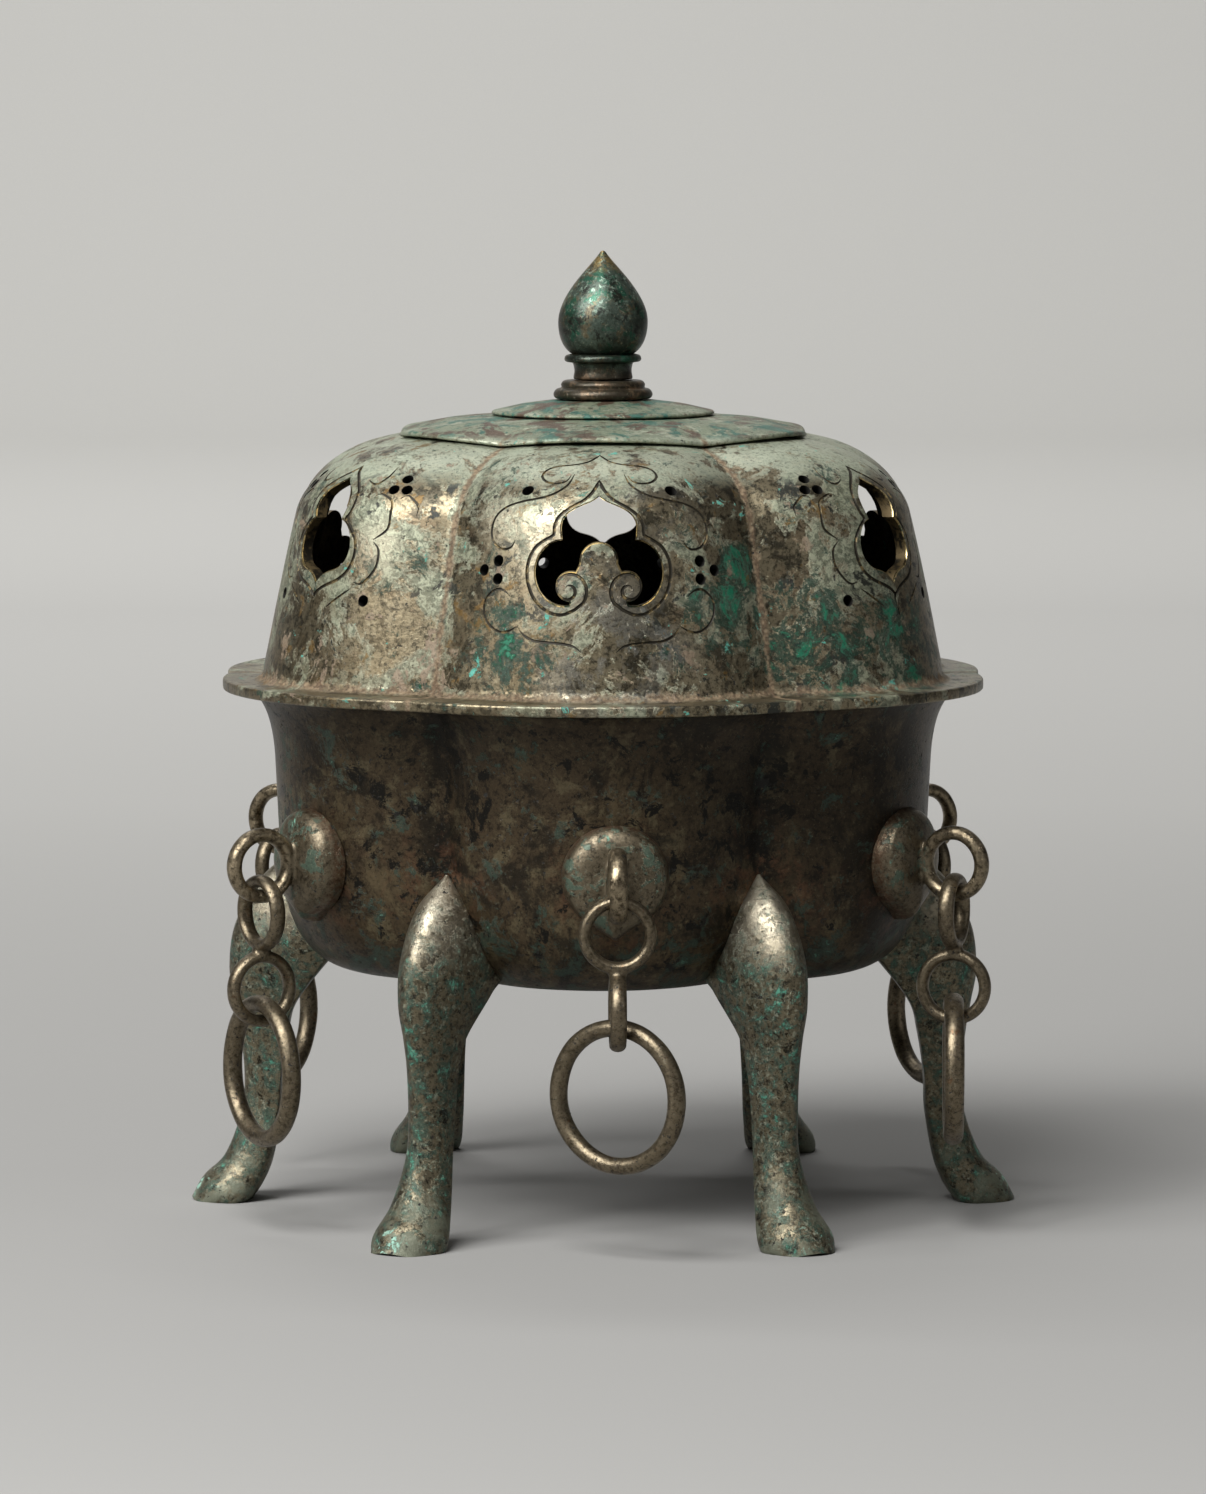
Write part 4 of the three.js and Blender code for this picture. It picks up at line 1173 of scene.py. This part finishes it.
def opening_cutters(name, right, azimuths):
    """Upright prisms with the outline of an opening, one for each of its lobes."""
    outline = closed_outline(right)
    count = len(outline)
    vertices, faces = [], []
    for azimuth in azimuths:
        outward, sideways = facing(azimuth)
        first = len(vertices)
        for depth in CUT_DEPTHS:
            for width, height in outline:
                upwards = Vector((0, 0, height * MM))
                vertices.append(outward * depth + sideways * width * MM + upwards)
        near = [first + i for i in range(count)]
        far = [first + count + i for i in range(count)]
        faces += [near, far[::-1]]
        for i in range(count):
            j = (i + 1) % count
            faces.append((near[j], near[i], far[i], far[j]))
    cutter = new_object(name, vertices, faces, wall_finish)
    return tidy_mesh(cutter, 0.001 * MM)


dress(lid, lid_finish_and_painted_light)
for title, (right, azimuths) in outlines.items():
    carve(lid, opening_cutters(title, right, azimuths))
print("lid with openings:", len(lid.data.polygons), "faces")

# %% [markdown]
# ## Drilled holes
# Forty-eight small holes in ones and threes stand round the openings. Each was drilled square to
# the metal, so a Geometry Nodes tree puts a drill bit on each point and turns it to the surface.

# %% Drilled holes
def drill_rule():
    rule = Rule("drill bits", sides=14, depth=0.009)
    bit = rule.node(
        "GeometryNodeMeshCylinder",
        sockets={"Vertices": rule.given("sides"), "Radius": 1.0, "Depth": rule.given("depth")},
    )
    direction = rule.node(
        "GeometryNodeInputNamedAttribute", {"data_type": "FLOAT_VECTOR"}, {"Name": "outward"}
    )
    turned = rule.node("FunctionNodeAlignRotationToVector", {"axis": "Z"}, {"Vector": direction})
    radius = rule.named("radius")
    bits = rule.node(
        "GeometryNodeInstanceOnPoints",
        sockets={
            "Points": rule.given("geometry"),
            "Instance": bit,
            "Rotation": turned,
            "Scale": rule.vector(radius, radius, 1.0),
        },
    )
    return rule.end(bits)


TREFOIL_HOLES = [(17.7, 188.9, 1.6), (24.9, 171.7, 1.5), (28.5, 169.3, 1.5), (25.1, 167.3, 1.5)]
GOURD_HOLES = [(16.6, 188.0, 1.5), (17.4, 190.5, 1.5), (19.6, 188.0, 1.5), (17, 160.5, 1.5)]
places, normals, radii = [], [], []
for holes, azimuths in [(TREFOIL_HOLES, TREFOILS), (GOURD_HOLES, GOURDS)]:
    for azimuth in azimuths:
        for side in (-1, 1):
            for width, height, radius in holes:
                place, normal = on_lid(azimuth, side * width, height)
                places.append(place)
                normals.extend(normal)
                radii.append(radius * MM)

bits = new_object("drill_bits", places, [])
give_points(bits, "outward", normals, "FLOAT_VECTOR")
give_points(bits, "radius", radii)
follow(bits, drill_rule(), material=hole_painted_shade)
carve(lid, bits)
print("drilled holes:", len(places), "- lid:", len(lid.data.polygons), "faces")

# %% [markdown]
# ## Engraved lines
# A line follows each opening and ends in the volutes, and clouds float above and below it. They
# were cut with a graver, which leaves a furrow that starts and ends shallow. A Geometry Nodes tree
# lays a tapering rod along each line, and the rods are cut out of the lid.

# %% Graver
def graver_rule():
    rule = Rule("graver", width=0.0009, sides=6)
    line = rule.node("GeometryNodeMeshToCurve", sockets={0: rule.given("geometry")})
    tip = rule.node(
        "GeometryNodeCurvePrimitiveCircle",
        sockets={"Resolution": rule.given("sides"), "Radius": rule.given("width") * 0.5},
    )
    taper = rule.named("taper")
    sockets = {"Curve": line, "Profile Curve": tip, "Scale": taper, "Fill Caps": True}
    return rule.end(rule.node("GeometryNodeCurveToMesh", sockets=sockets))


graver = graver_rule()
print("nodes in the graver:", len(graver.nodes))


# %% Engraving
def engrave(name, line, azimuths, closed=False, width=0.95, taper=3.0, material=furrow_finish):
    """Cuts one line into the lid at each of these azimuths. Sizes are in millimetres."""
    steps = np.linalg.norm(np.diff(line, axis=0), axis=1)
    along = np.concatenate([[0], np.cumsum(steps)])
    near_end = np.minimum(along, along[-1] - along)
    share = np.ones(len(line)) if closed else np.clip(near_end / taper, 0, 1) ** 0.6
    share = np.maximum(share, 0.25)
    places, edges = [], []
    for azimuth in azimuths:
        first = len(places)
        places += [on_lid(azimuth, width_here, height)[0] for width_here, height in line]
        edges += [(first + i, first + i + 1) for i in range(len(line) - 1)]
        if closed:
            edges.append((first + len(line) - 1, first))
    rods = new_object(name, places, [], edges=edges)
    give_points(rods, "taper", np.tile(share, len(azimuths)))
    follow(rods, graver, width=width * MM, material=material)
    carve(lid, tidy_mesh(rods))


def engrave_clouds(clouds, azimuths):
    """Cuts thinner lines, on both sides of each lobe."""
    for title, points in clouds.items():
        for line in (smooth_line(points), mirrored(smooth_line(points))):
            engrave(title, line, azimuths, width=0.75)


def engrave_edge(name, right, azimuths):
    """Rubs a bright line all round an opening."""
    outline = closed_outline(right)
    engrave(name, outline, azimuths, closed=True, width=0.8, material=edge_finish)


# %% Trefoil lobes
def spiral(centre, radii, start):
    """A volute that goes clockwise from a start angle, a quarter turn for each radius."""
    turn = start - 90.0 * np.arange(len(radii))
    fine = np.arange(0, len(radii) - 0.99, 0.125)
    radius = np.interp(fine, range(len(radii)), radii)
    angle = np.radians(np.interp(fine, range(len(radii)), turn))
    return on_circle(centre, (radius, radius), angle)


trefoil_border = [
    (0, 191.4), (1.2, 189.3), (3.4, 187.1), (7.2, 185), (9.9, 182.9), (11, 180.4), (11.1, 178.5),
    (12.9, 177.4), (15.7, 175.3), (17.5, 171.5), (17.6, 167), (15.8, 162.5), (12.3, 159.6),
    (9, 159), (5.9, 160.3),
]
volute = spiral((7.6, 165), (4.9, 4.4, 3.6, 2.5, 2.1, 1.5, 0.9), 232)
cloud_tip = [
    (0, 197), (2.6, 195.7), (6, 195), (10, 194.6), (13, 193.7), (14.2, 192.2), (13, 191),
    (10.4, 190.7), (8.1, 191.3), (7, 192.6),
]
TREFOIL_CLOUDS = {
    "cloud_brow": [
        (6.1, 192.9), (8, 190.2), (12.5, 187.8), (19, 186.3), (23, 184.8), (25.6, 182.4),
        (26.6, 179.3), (26.4, 176.8), (25, 175), (23, 174.6), (21.5, 175.4), (20.8, 176.9),
    ],
    "cloud_foot": [
        (22, 163.2), (23.4, 164.5), (25.4, 164.8), (27.6, 163), (28.5, 160.4), (28, 157.3),
        (26, 155), (23.2, 154.4), (20, 156),
    ],
    "cloud_hem": [
        (19.9, 155.6), (18.6, 153.9), (16, 152.5), (12.4, 152.2), (8.2, 151.8), (6, 151.2),
        (4.3, 149.9),
    ],
}
border = joined(smooth_line(trefoil_border), volute)
engrave("trefoil_border", both_sides(border), TREFOILS)
engrave("cloud_tip", both_sides(smooth_line(cloud_tip)), TREFOILS, width=0.75)
engrave_clouds(TREFOIL_CLOUDS, TREFOILS)
engrave_edge("trefoil_edge", trefoil_outline(), TREFOILS)
print("trefoil lobes:", len(lid.data.polygons), "faces")

# %% Gourd lobes
gourd_border = [
    (0, 193), (1.2, 191.8), (4.2, 189.9), (7.2, 187.4), (8.3, 184.4), (8, 181.9), (7.1, 180.4),
    (8.8, 178.9), (11.4, 175.4), (12, 171.5), (10.8, 167.8), (7.9, 165.3), (4.4, 163.9),
    (1.8, 162.6), (0, 160.6), (0, 156),
]
GOURD_CLOUDS = {
    "cloud_horn": [(11.3, 193.3), (12.2, 191.2), (11.3, 189.3), (9.5, 189.3), (7.5, 190.1)],
    "cloud_side": [
        (13.2, 186.4), (14.5, 186.9), (18, 185.3), (19.1, 182.6), (19.4, 178.4), (16.4, 175.6),
    ],
    "cloud_cheek": [(16.6, 175.2), (18.4, 173), (18.5, 168.7), (15.8, 164.8), (13.1, 165)],
    "cloud_wing": [(19.7, 185.9), (20.9, 186.7), (24.3, 184.2), (24.9, 181.8)],
    "cloud_chin": [(12.7, 163.3), (9, 160.8), (5.6, 158.4)],
}
engrave("gourd_border", both_sides(smooth_line(gourd_border)), GOURDS)
engrave_clouds(GOURD_CLOUDS, GOURDS)
engrave_edge("gourd_edge", gourd_outline(), GOURDS)
smooth(lid)
print("lid:", len(lid.data.polygons), "faces")

# %% [markdown]
# ## Crown and finial
# On the flat top of the dome sit a lobed plate, a round tier and a moulded base, and the bud of the
# finial stands on them. The plate follows the lobed rule, with a thin edge that dips over the
# grooves of the lid. The rest were turned on a lathe and then finished by hand.

# %% Crown plate
CROWN = 199.7 * MM
TIER = 204.3 * MM
BASE = 208.2 * MM
NECK = 213.3 * MM


def crown_profile(edge, dip=0.0):
    """The plate from its hole outwards. Its edge dips where it hangs over a groove of the lid."""
    tier_edge = 28.8 * MM
    return run(
        [
            (TANG_HOLE, CROWN),
            (edge - 9 * MM, CROWN),
            (edge - 0.2 * MM, CROWN - dip),
            (edge, CROWN + 0.5 * MM - dip),
            (edge - 0.4 * MM, CROWN + 1.2 * MM - dip),
            (mix(tier_edge, edge, 0.5), CROWN + 3.25 * MM),
            (tier_edge - 1 * MM, CROWN + 4.3 * MM),
            (TANG_HOLE, CROWN + 4.3 * MM),
            (TANG_HOLE, CROWN + 2 * MM),
        ],
        5,
        0.5 * MM,
    )


crown_plate = lobed_casting(
    "crown_plate_cast", crown_profile(54.6 * MM), crown_profile(51.2 * MM, 1.7 * MM), closed=True,
    softness=0.03, unevenness=0.2 * MM, grain=30.0, seed=3,
)
smooth(crown_plate)
print("crown plate:", len(crown_plate.data.polygons), "faces")


# %% Crown tier
def uneven_rule():
    rule = Rule("hand finish", unevenness=0.0001, grain=40.0, seed=1)
    return rule.end(uneven(rule, rule.given("geometry")))


hand_finish = uneven_rule()


def turned(name, profile, closed=True, steps=96, **sizes):
    """A piece turned round the vertical axis. A closed profile goes round a hole."""
    vertices = []
    for i in range(steps):
        turn = math.tau * i / steps
        vertices += [(r * math.sin(turn), -r * math.cos(turn), z) for r, z in profile]
    faces = quads(steps, len(profile), closed_length=closed)
    piece = tidy_mesh(new_object(name, vertices, faces))
    follow(piece, hand_finish, **sizes)
    return smooth(piece)


tier_profile = run(
    [
        (TANG_HOLE, TIER),
        (28.5 * MM, TIER),
        (28.8 * MM, TIER + 0.4 * MM),
        (28.4 * MM, TIER + 0.9 * MM),
        (20.9 * MM, TIER + 2.6 * MM),
        (13 * MM, TIER + 3.6 * MM),
        (TANG_HOLE, TIER + 3.6 * MM),
        (TANG_HOLE, TIER + 1 * MM),
    ],
    4,
    0.4 * MM,
)
crown_tier = turned("crown_tier_cast", tier_profile, unevenness=0.12 * MM, seed=5)
print("crown tier:", len(crown_tier.data.polygons), "faces")

# %% Base and rove
base_profile = run(
    [
        (TANG_HOLE, BASE),
        (12.3 * MM, BASE),
        (12.95 * MM, BASE + 1.2 * MM),
        (12.1 * MM, BASE + 2.6 * MM),
        (10.6 * MM, BASE + 2.8 * MM),
        (10.95 * MM, BASE + 3.8 * MM),
        (10.1 * MM, BASE + 4.8 * MM),
        (TANG_HOLE, BASE + 4.8 * MM),
        (TANG_HOLE, BASE + 1 * MM),
    ],
    3,
    0.8 * MM,
)
finial_base = turned("finial_base_cast", base_profile, unevenness=0.1 * MM, seed=6)

ROVE_TOP, ROVE_BOTTOM, ROVE_EDGE = 196.1 * MM, 194.6 * MM, 8 * MM
rove_profile = run(
    [
        (TANG_HOLE, ROVE_TOP),
        (ROVE_EDGE, ROVE_TOP),
        (ROVE_EDGE, ROVE_BOTTOM),
        (TANG_HOLE, ROVE_BOTTOM),
        (TANG_HOLE, 195.5 * MM),
    ],
    2,
    0.3 * MM,
)
finial_rove = turned("finial_rove_cut", rove_profile, unevenness=0.1 * MM, seed=7)
for piece in (finial_base, finial_rove):
    print(piece.name, len(piece.data.polygons), "faces")


# %% Finial
def finial_profile():
    """From the tang's head inside the lid, up the tang, over the collar and up the bud."""
    collar = NECK + 4.4 * MM
    bud = collar + 2.1 * MM
    widest = bud + 8.2 * MM
    top = bud + 26.5 * MM
    tang = run(
        [
            (0, 192.5 * MM),
            (2.6 * MM, 192.5 * MM),
            (3.8 * MM, 193.4 * MM),
            (3.8 * MM, 194.3 * MM),
            (1.6 * MM, 194.3 * MM),
            (1.6 * MM, NECK),
            (7.7 * MM, NECK),
            (7.3 * MM, mix(NECK, collar, 0.5)),
            (7.7 * MM, collar - 0.1 * MM),
            (9.5 * MM, collar),
            (10 * MM, mix(collar, bud, 0.3)),
            (9.6 * MM, mix(collar, bud, 0.85)),
            (8 * MM, bud),
        ],
        2,
        0.6 * MM,
    )
    swell = bezier(
        [
            (8 * MM, bud),
            (10.6 * MM, mix(bud, widest, 0.2)),
            (11.5 * MM, mix(bud, widest, 0.6)),
            (11.5 * MM, widest),
        ],
        14,
    )
    taper = bezier(
        [
            (11.5 * MM, widest),
            (11.5 * MM, mix(widest, top, 0.38)),
            (3.3 * MM, mix(widest, top, 0.78)),
            (0.9 * MM, top - 0.7 * MM),
        ],
        26,
    )
    tip = bezier([(0.9 * MM, top - 0.7 * MM), (0.6 * MM, top - 0.1 * MM), (0, top)], 4)
    return joined(tang, swell, taper, tip)


finial = turned("finial_cast", finial_profile(), closed=False, unevenness=0.25 * MM, seed=8)
print("finial:", len(finial.data.polygons), "faces")

# %% [markdown]
# ## Legs
# Each cabriole leg bulges into a leaf-shaped knee in a groove of the bowl, narrows to the ankle and
# turns out into a foot. It is lofted through sections that run from a front outline to a back one.
# Each is widest near its back, with a soft ridge down the front that fades out at the ankle. One
# leg is cut to the bowl, and a Geometry Nodes tree sets it round the axis six times.

# %% Sections of a leg
GROOVE = BELLY - BELLY_GROOVE
KNEE = [
    (1.4, 29.5, -3.2, 28, 0.6, 0.5),
    (11.1, 21.5, -3.2, 19, 7.2, 0.2),
    (18.1, 9.5, -11.2, 5, 11, 0.14),
    (19.8, -2, -6, -0.5, 10, 0.08),
]
SHIN = [
    (18.5, 52, 2, 52, 7, 0.06),
    (17.1, 44, 4.3, 44, 6, 0.06),
    (16, 33, 5.9, 33, 5.7, 0.06),
    (16.8, 23, 6.4, 23, 5.7, 0.13),
    (21, 12, 9.4, 8.4, 7.8, 0.3),
    (26.6, 6.2, 15.5, -1, 9.8, 0.3),
    (29.8, 0.6, 23, -2.6, 7.2, 0.3),
]


def leg_stations(count=90):
    """Front offset and height, back offset and height, half width, and the widest place."""
    rise = np.array([0, BOWL_BASE / MM, 0, BOWL_BASE / MM, 0, 0])
    rows = np.vstack([np.array(KNEE) + rise, np.array(SHIN)])
    rows[:, :5] *= MM
    padded = np.vstack([2 * rows[0] - rows[1], rows, 2 * rows[-1] - rows[-2]])
    made = []
    for place in np.linspace(0, len(rows) - 1, count):
        k = min(int(place), len(rows) - 2)
        made.append(between(*padded[k : k + 4], place - k))
    return np.array(made)


print("sections:", len(leg_stations()), "from", len(KNEE) + len(SHIN), "drawn ones")


# %% One leg
def leg_mesh(name, sides=48, back_power=2.4):
    """A leg at the front. The powers say how full the curve of its front and back is."""
    stations = leg_stations()
    vertices = []
    for i, (front, front_z, back, back_z, half, widest) in enumerate(stations):
        share = i / (len(stations) - 1)
        ridge = mix(1.85, 2.0, min(1.0, share * 1.5))
        for side in range(sides):
            turn = math.tau * side / sides
            across, ahead = math.sin(turn), math.cos(turn)
            power = ridge if ahead > 0 else back_power
            size = (abs(across) ** power + abs(ahead) ** power) ** (-1 / power)
            depth = widest + ahead * size * (1 - widest if ahead > 0 else widest)
            y = -GROOVE - mix(back, front, depth)
            z = max(mix(back_z, front_z, depth), 0)
            vertices.append((abs(half) * across * size, y, z))
    # Which points are merged on the flat sole depends on the order of each face's corners.
    faces = [(a, d, c, b) for a, b, c, d in quads(len(stations), sides, closed_strips=False)]
    faces.append(list(range(sides))[::-1])
    faces.append(list(range(len(vertices) - sides, len(vertices))))
    return tidy_mesh(new_object(name, vertices, faces))


def cup_outside(sink):
    """The closed outside of the bowl, taken in a little, to cut what is fixed to it."""

    def profile(groove):
        wall = beside(bowl_wall(groove), sink)
        return joined([(0, wall[0][1]), wall[0]], wall, [wall[-1], (0, wall[-1][1])])

    return lobed_casting("cup", profile(0), profile(BELLY_GROOVE))


def turn_about(piece, degrees):
    piece.data.transform(Matrix.Rotation(math.radians(degrees), 4, "Z"))
    return piece


leg = turn_about(leg_mesh("leg"), LEG_AZIMUTHS[0])
carve(leg, cup_outside(0.5 * MM))
turn_about(leg, -LEG_AZIMUTHS[0])
print("one leg:", len(leg.data.polygons), "faces")


# %% Six legs
def set_round_rule():
    rule = Rule("set round the axis", cast=bpy.types.Object)
    cast = {"Object": rule.given("cast")}
    info = rule.node("GeometryNodeObjectInfo", sockets=cast, output="Geometry")
    turn = rule.vector(0.0, 0.0, rule.named("turn"))
    sockets = {"Points": rule.given("geometry"), "Instance": info, "Rotation": turn}
    return rule.end(rule.node("GeometryNodeInstanceOnPoints", sockets=sockets))


set_round = set_round_rule()


def set_round_axis(name, piece, azimuths):
    """Copies of a piece that was made at the front, turned to each azimuth."""
    made = new_object(name, [(0, 0, 0)] * len(azimuths), [])
    give_points(made, "turn", [math.radians(azimuth) for azimuth in azimuths])
    follow(made, set_round, cast=piece)
    bpy.data.objects.remove(piece)
    return made


legs = set_round_axis("cast_legs", leg, LEG_AZIMUTHS)
follow(legs, hand_finish, unevenness=0.35 * MM, grain=30.0, seed=11)
smooth(legs)
print("six legs:", len(legs.data.polygons), "faces")

# %% [markdown]
# ## Bosses, links and rings
# Wire of oval section was bent round a bar, closed and brazed. A Geometry Nodes tree sweeps the
# section round a circle and lets it swell and thin a little. Where pieces were brazed together, a
# voxel remesh joins them, and a few rounds of smoothing leave the soft fillet of the braze.

# %% Wire ring
def wire_rule():
    rule = Rule(
        "wire ring", radius=0.008, thickness=0.0036, width=0.0046, steps=64, unevenness=0.05, seed=1
    )
    circle = rule.node(
        "GeometryNodeCurvePrimitiveCircle",
        sockets={"Resolution": rule.given("steps"), "Radius": rule.given("radius")},
    )
    round_section = {"Resolution": 20, "Radius": 0.5}
    section = rule.node("GeometryNodeCurvePrimitiveCircle", sockets=round_section)
    size = rule.vector(rule.given("thickness"), rule.given("width"), 1.0)
    oval = rule.node("GeometryNodeTransform", sockets={"Geometry": section, "Scale": size})
    place = rule.node("GeometryNodeInputPosition")
    swell = rule.node(
        "ShaderNodeTexNoise",
        {"noise_dimensions": "4D"},
        {"Vector": place, "W": rule.given("seed"), "Scale": 90.0, "Detail": 1.0},
    )
    scale = (swell - 0.5) * rule.given("unevenness") * 2 + 1.0
    wire = rule.node(
        "GeometryNodeCurveToMesh", sockets={"Curve": circle, "Profile Curve": oval, "Scale": scale}
    )
    return rule.end(wire)


wire = wire_rule()
print("nodes in the wire ring:", len(wire.nodes))


# %% Rings and braze
def wire_ring(name, radius, thickness, width, upright, place, **sizes):
    """A ring of wire, made flat, then set upright by a quarter turn about X or Y, and moved."""
    ring = new_object(name, [], [])
    follow(ring, wire, radius=radius * MM, thickness=thickness * MM, width=width * MM, **sizes)
    ring.data.transform(Matrix.Rotation(math.radians(90), 4, upright))
    ring.data.transform(Matrix.Translation(place))
    return tidy_mesh(ring)


def brazed(name, pieces, voxel, smoothing=5):
    """Several closed pieces as one, with soft fillets where they meet."""
    work = bmesh.new()
    for piece in pieces:
        work.from_mesh(piece.data)
        bpy.data.objects.remove(piece)
    made = new_object(name, [], [])
    work.to_mesh(made.data)
    work.free()
    remesh = made.modifiers.new("braze", "REMESH")
    remesh.mode = "VOXEL"
    remesh.voxel_size = voxel * MM
    soften = made.modifiers.new("soften", "SMOOTH")
    soften.factor = 0.5
    soften.iterations = smoothing
    settle(made)
    made.data.shade_smooth()
    return made


# %% Bosses with their eyes
WALL_AT_BOSS = 88.5 * MM
BOSS_HEIGHT = 93.9 * MM
CUSHION_RISE = 5.8
EYE_REACH = 102.895 * MM
EYE_HEIGHT = 93.4 * MM
# The radius of a ring, and the thickness and width of its wire, in millimetres.
EYE_SIZES = (7.8, 3.6, 4.6)


def boss_outline():
    """Round above and pointed below, from the tip round to the tip again."""
    round_part = arc((0, 0), (13.3, 13.3), -55, 235, 1.2)
    tip = np.array([0, -15.8])
    left = bezier([round_part[-1], (-3.4, -13.4), tip + [-0.5, 0.2]], 6)
    right = bezier([tip + [0.5, 0.2], (3.4, -13.4), round_part[0]], 6)
    return np.vstack([right[:-1], round_part, left[1:]])


def boss_mesh(name):
    """A cushion that stands on the wall, and runs into it for the bowl to cut off."""
    outline = boss_outline() * MM
    # Each row is a share of the outline and its rise above the wall in millimetres.
    rows = [(1.0, -5.0), (1.0, -1.5)]
    for share in np.linspace(1, 0, 16):
        rows.append((share, CUSHION_RISE * (1 - share**3.4) ** (1 / 2.2)))
    vertices = []
    for share, rise in rows:
        for x, z in outline:
            vertices.append((x * share, -WALL_AT_BOSS - rise * MM, z * share + BOSS_HEIGHT))
    faces = quads(len(rows), len(outline), closed_strips=False)
    faces.append(list(range(len(outline))))
    return tidy_mesh(new_object(name, vertices, faces))


eye = wire_ring("eye", *EYE_SIZES, "Y", (0, -EYE_REACH, EYE_HEIGHT), seed=3)
boss = brazed("boss", [boss_mesh("cushion"), eye], 0.45)
carve(boss, cup_outside(0.4 * MM))
bosses = set_round_axis("cast_bosses", boss, BOSS_AZIMUTHS)
follow(bosses, hand_finish, unevenness=0.3 * MM, grain=60.0, seed=12)
smooth(bosses)
print("bosses:", len(bosses.data.polygons), "faces")

# %% Links and large rings
LINK_TOP = 89.545 * MM
LINK_SIZES = (8.15, 3.15, 4.2)
UPPER_CENTRE, LOWER_CENTRE = -8.15 * MM, -27.35 * MM
BRAZE_CENTRE = -17.75
RING_TOP = 58.345 * MM
RING_SIZES = (17.1, 4.3, 5.0)
RING_CENTRE = -17.1 * MM
LINK_TURNS = {1: 0, 2: 13, 3: 0, 5: 0, 6: 0}
RING_TURNS = {1: -34, 2: 29, 3: -8, 5: 9, 6: -5}


def link_mesh(number):
    """Upper ring across the radius, lower ring along it, and a bead of braze between them."""
    upper = wire_ring("upper", *LINK_SIZES, "X", (0, 0, UPPER_CENTRE), seed=number)
    lower = wire_ring("lower", *LINK_SIZES, "Y", (0, 0, LOWER_CENTRE), seed=number + 20)
    profile = arc((0, BRAZE_CENTRE), (2.3, 2.6), -90, 90, 0.8) * MM
    bead = turned("bead", profile, closed=False, steps=16, unevenness=0.2 * MM, seed=number)
    return brazed(f"link_{number}_wire", [upper, lower, bead], 0.4, 4)


def hang(piece, number, turn, top):
    """Turns a hanging piece about the vertical and takes it to its boss."""
    turn_about(piece, turn)
    piece.data.transform(Matrix.Translation((0, -EYE_REACH, top)))
    return turn_about(piece, BOSS_AZIMUTHS[number - 1])


links, rings = {}, {}
for number in LINK_TURNS:
    links[number] = hang(link_mesh(number), number, LINK_TURNS[number], LINK_TOP)
    title, place = f"ring_{number}_wire", (0, 0, RING_CENTRE)
    ring = wire_ring(title, *RING_SIZES, "X", place, steps=120, seed=number + 40)
    follow(ring, hand_finish, unevenness=0.25 * MM, grain=70.0, seed=number)
    rings[number] = smooth(hang(ring, number, RING_TURNS[number], RING_TOP))
print("links:", {n: len(p.data.polygons) for n, p in links.items()})
print("rings:", {n: len(p.data.polygons) for n, p in rings.items()})


# %% Overall size
def within(piece, corners):
    """Trims a hand-finished surface to the overall size, which it may pass by a hair."""
    places = np.empty(3 * len(piece.data.vertices), np.float32)
    piece.data.vertices.foreach_get("co", places)
    trimmed = np.clip(places.reshape(-1, 3), *np.array(corners, np.float32))
    piece.data.vertices.foreach_set("co", trimmed.ravel())
    piece.data.update()


everything = [bowl, legs, bosses, lid, crown_plate, crown_tier, finial_base, finial, finial_rove]
everything += [*links.values(), *rings.values()]
for piece in everything:
    within(piece, cad_box)
print("pieces:", len(everything))


# %% Put on the finishes
dress(bowl, bowl_finish_and_painted_shade)
dress(bosses, boss_finish)
for piece in (crown_plate, crown_tier):
    dress(piece, lid_finish_and_painted_light)
for piece in (finial_base, finial):
    dress(piece, finial_finish)
dress(legs, leg_finish)
for piece in (finial_rove, *links.values(), *rings.values()):
    dress(piece, chain_finish)
print("finishes in use:", len({piece.data.materials[0].name for piece in everything}))

# %% Bodies and nodes
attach(bowl, "vessel")
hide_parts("bowl")
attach(legs, "vessel")
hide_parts(*[f"leg_{k}" for k in range(1, 7)])
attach(bosses, "vessel")
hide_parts(*[f"boss_eye_{k}" for k in range(1, 7)])
for piece, node, slot in [
    (lid, "lid_dome", "verdigris_bronze"),
    (crown_plate, "crown_plate", "verdigris_bronze"),
    (crown_tier, "crown_tier", "verdigris_bronze"),
    (finial_base, "finial_base", "green_bronze"),
    (finial, "finial", "green_bronze"),
    (finial_rove, "finial_rove", "worn_bronze"),
]:
    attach(piece, "lid")
    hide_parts(node)
for number in links:
    for title, piece in [("link", links[number]), ("ring", rings[number])]:
        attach(piece, f"{title}_{number}_body")
        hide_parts(f"{title}_{number}")
print("hanging pieces:", len(links) + len(rings))
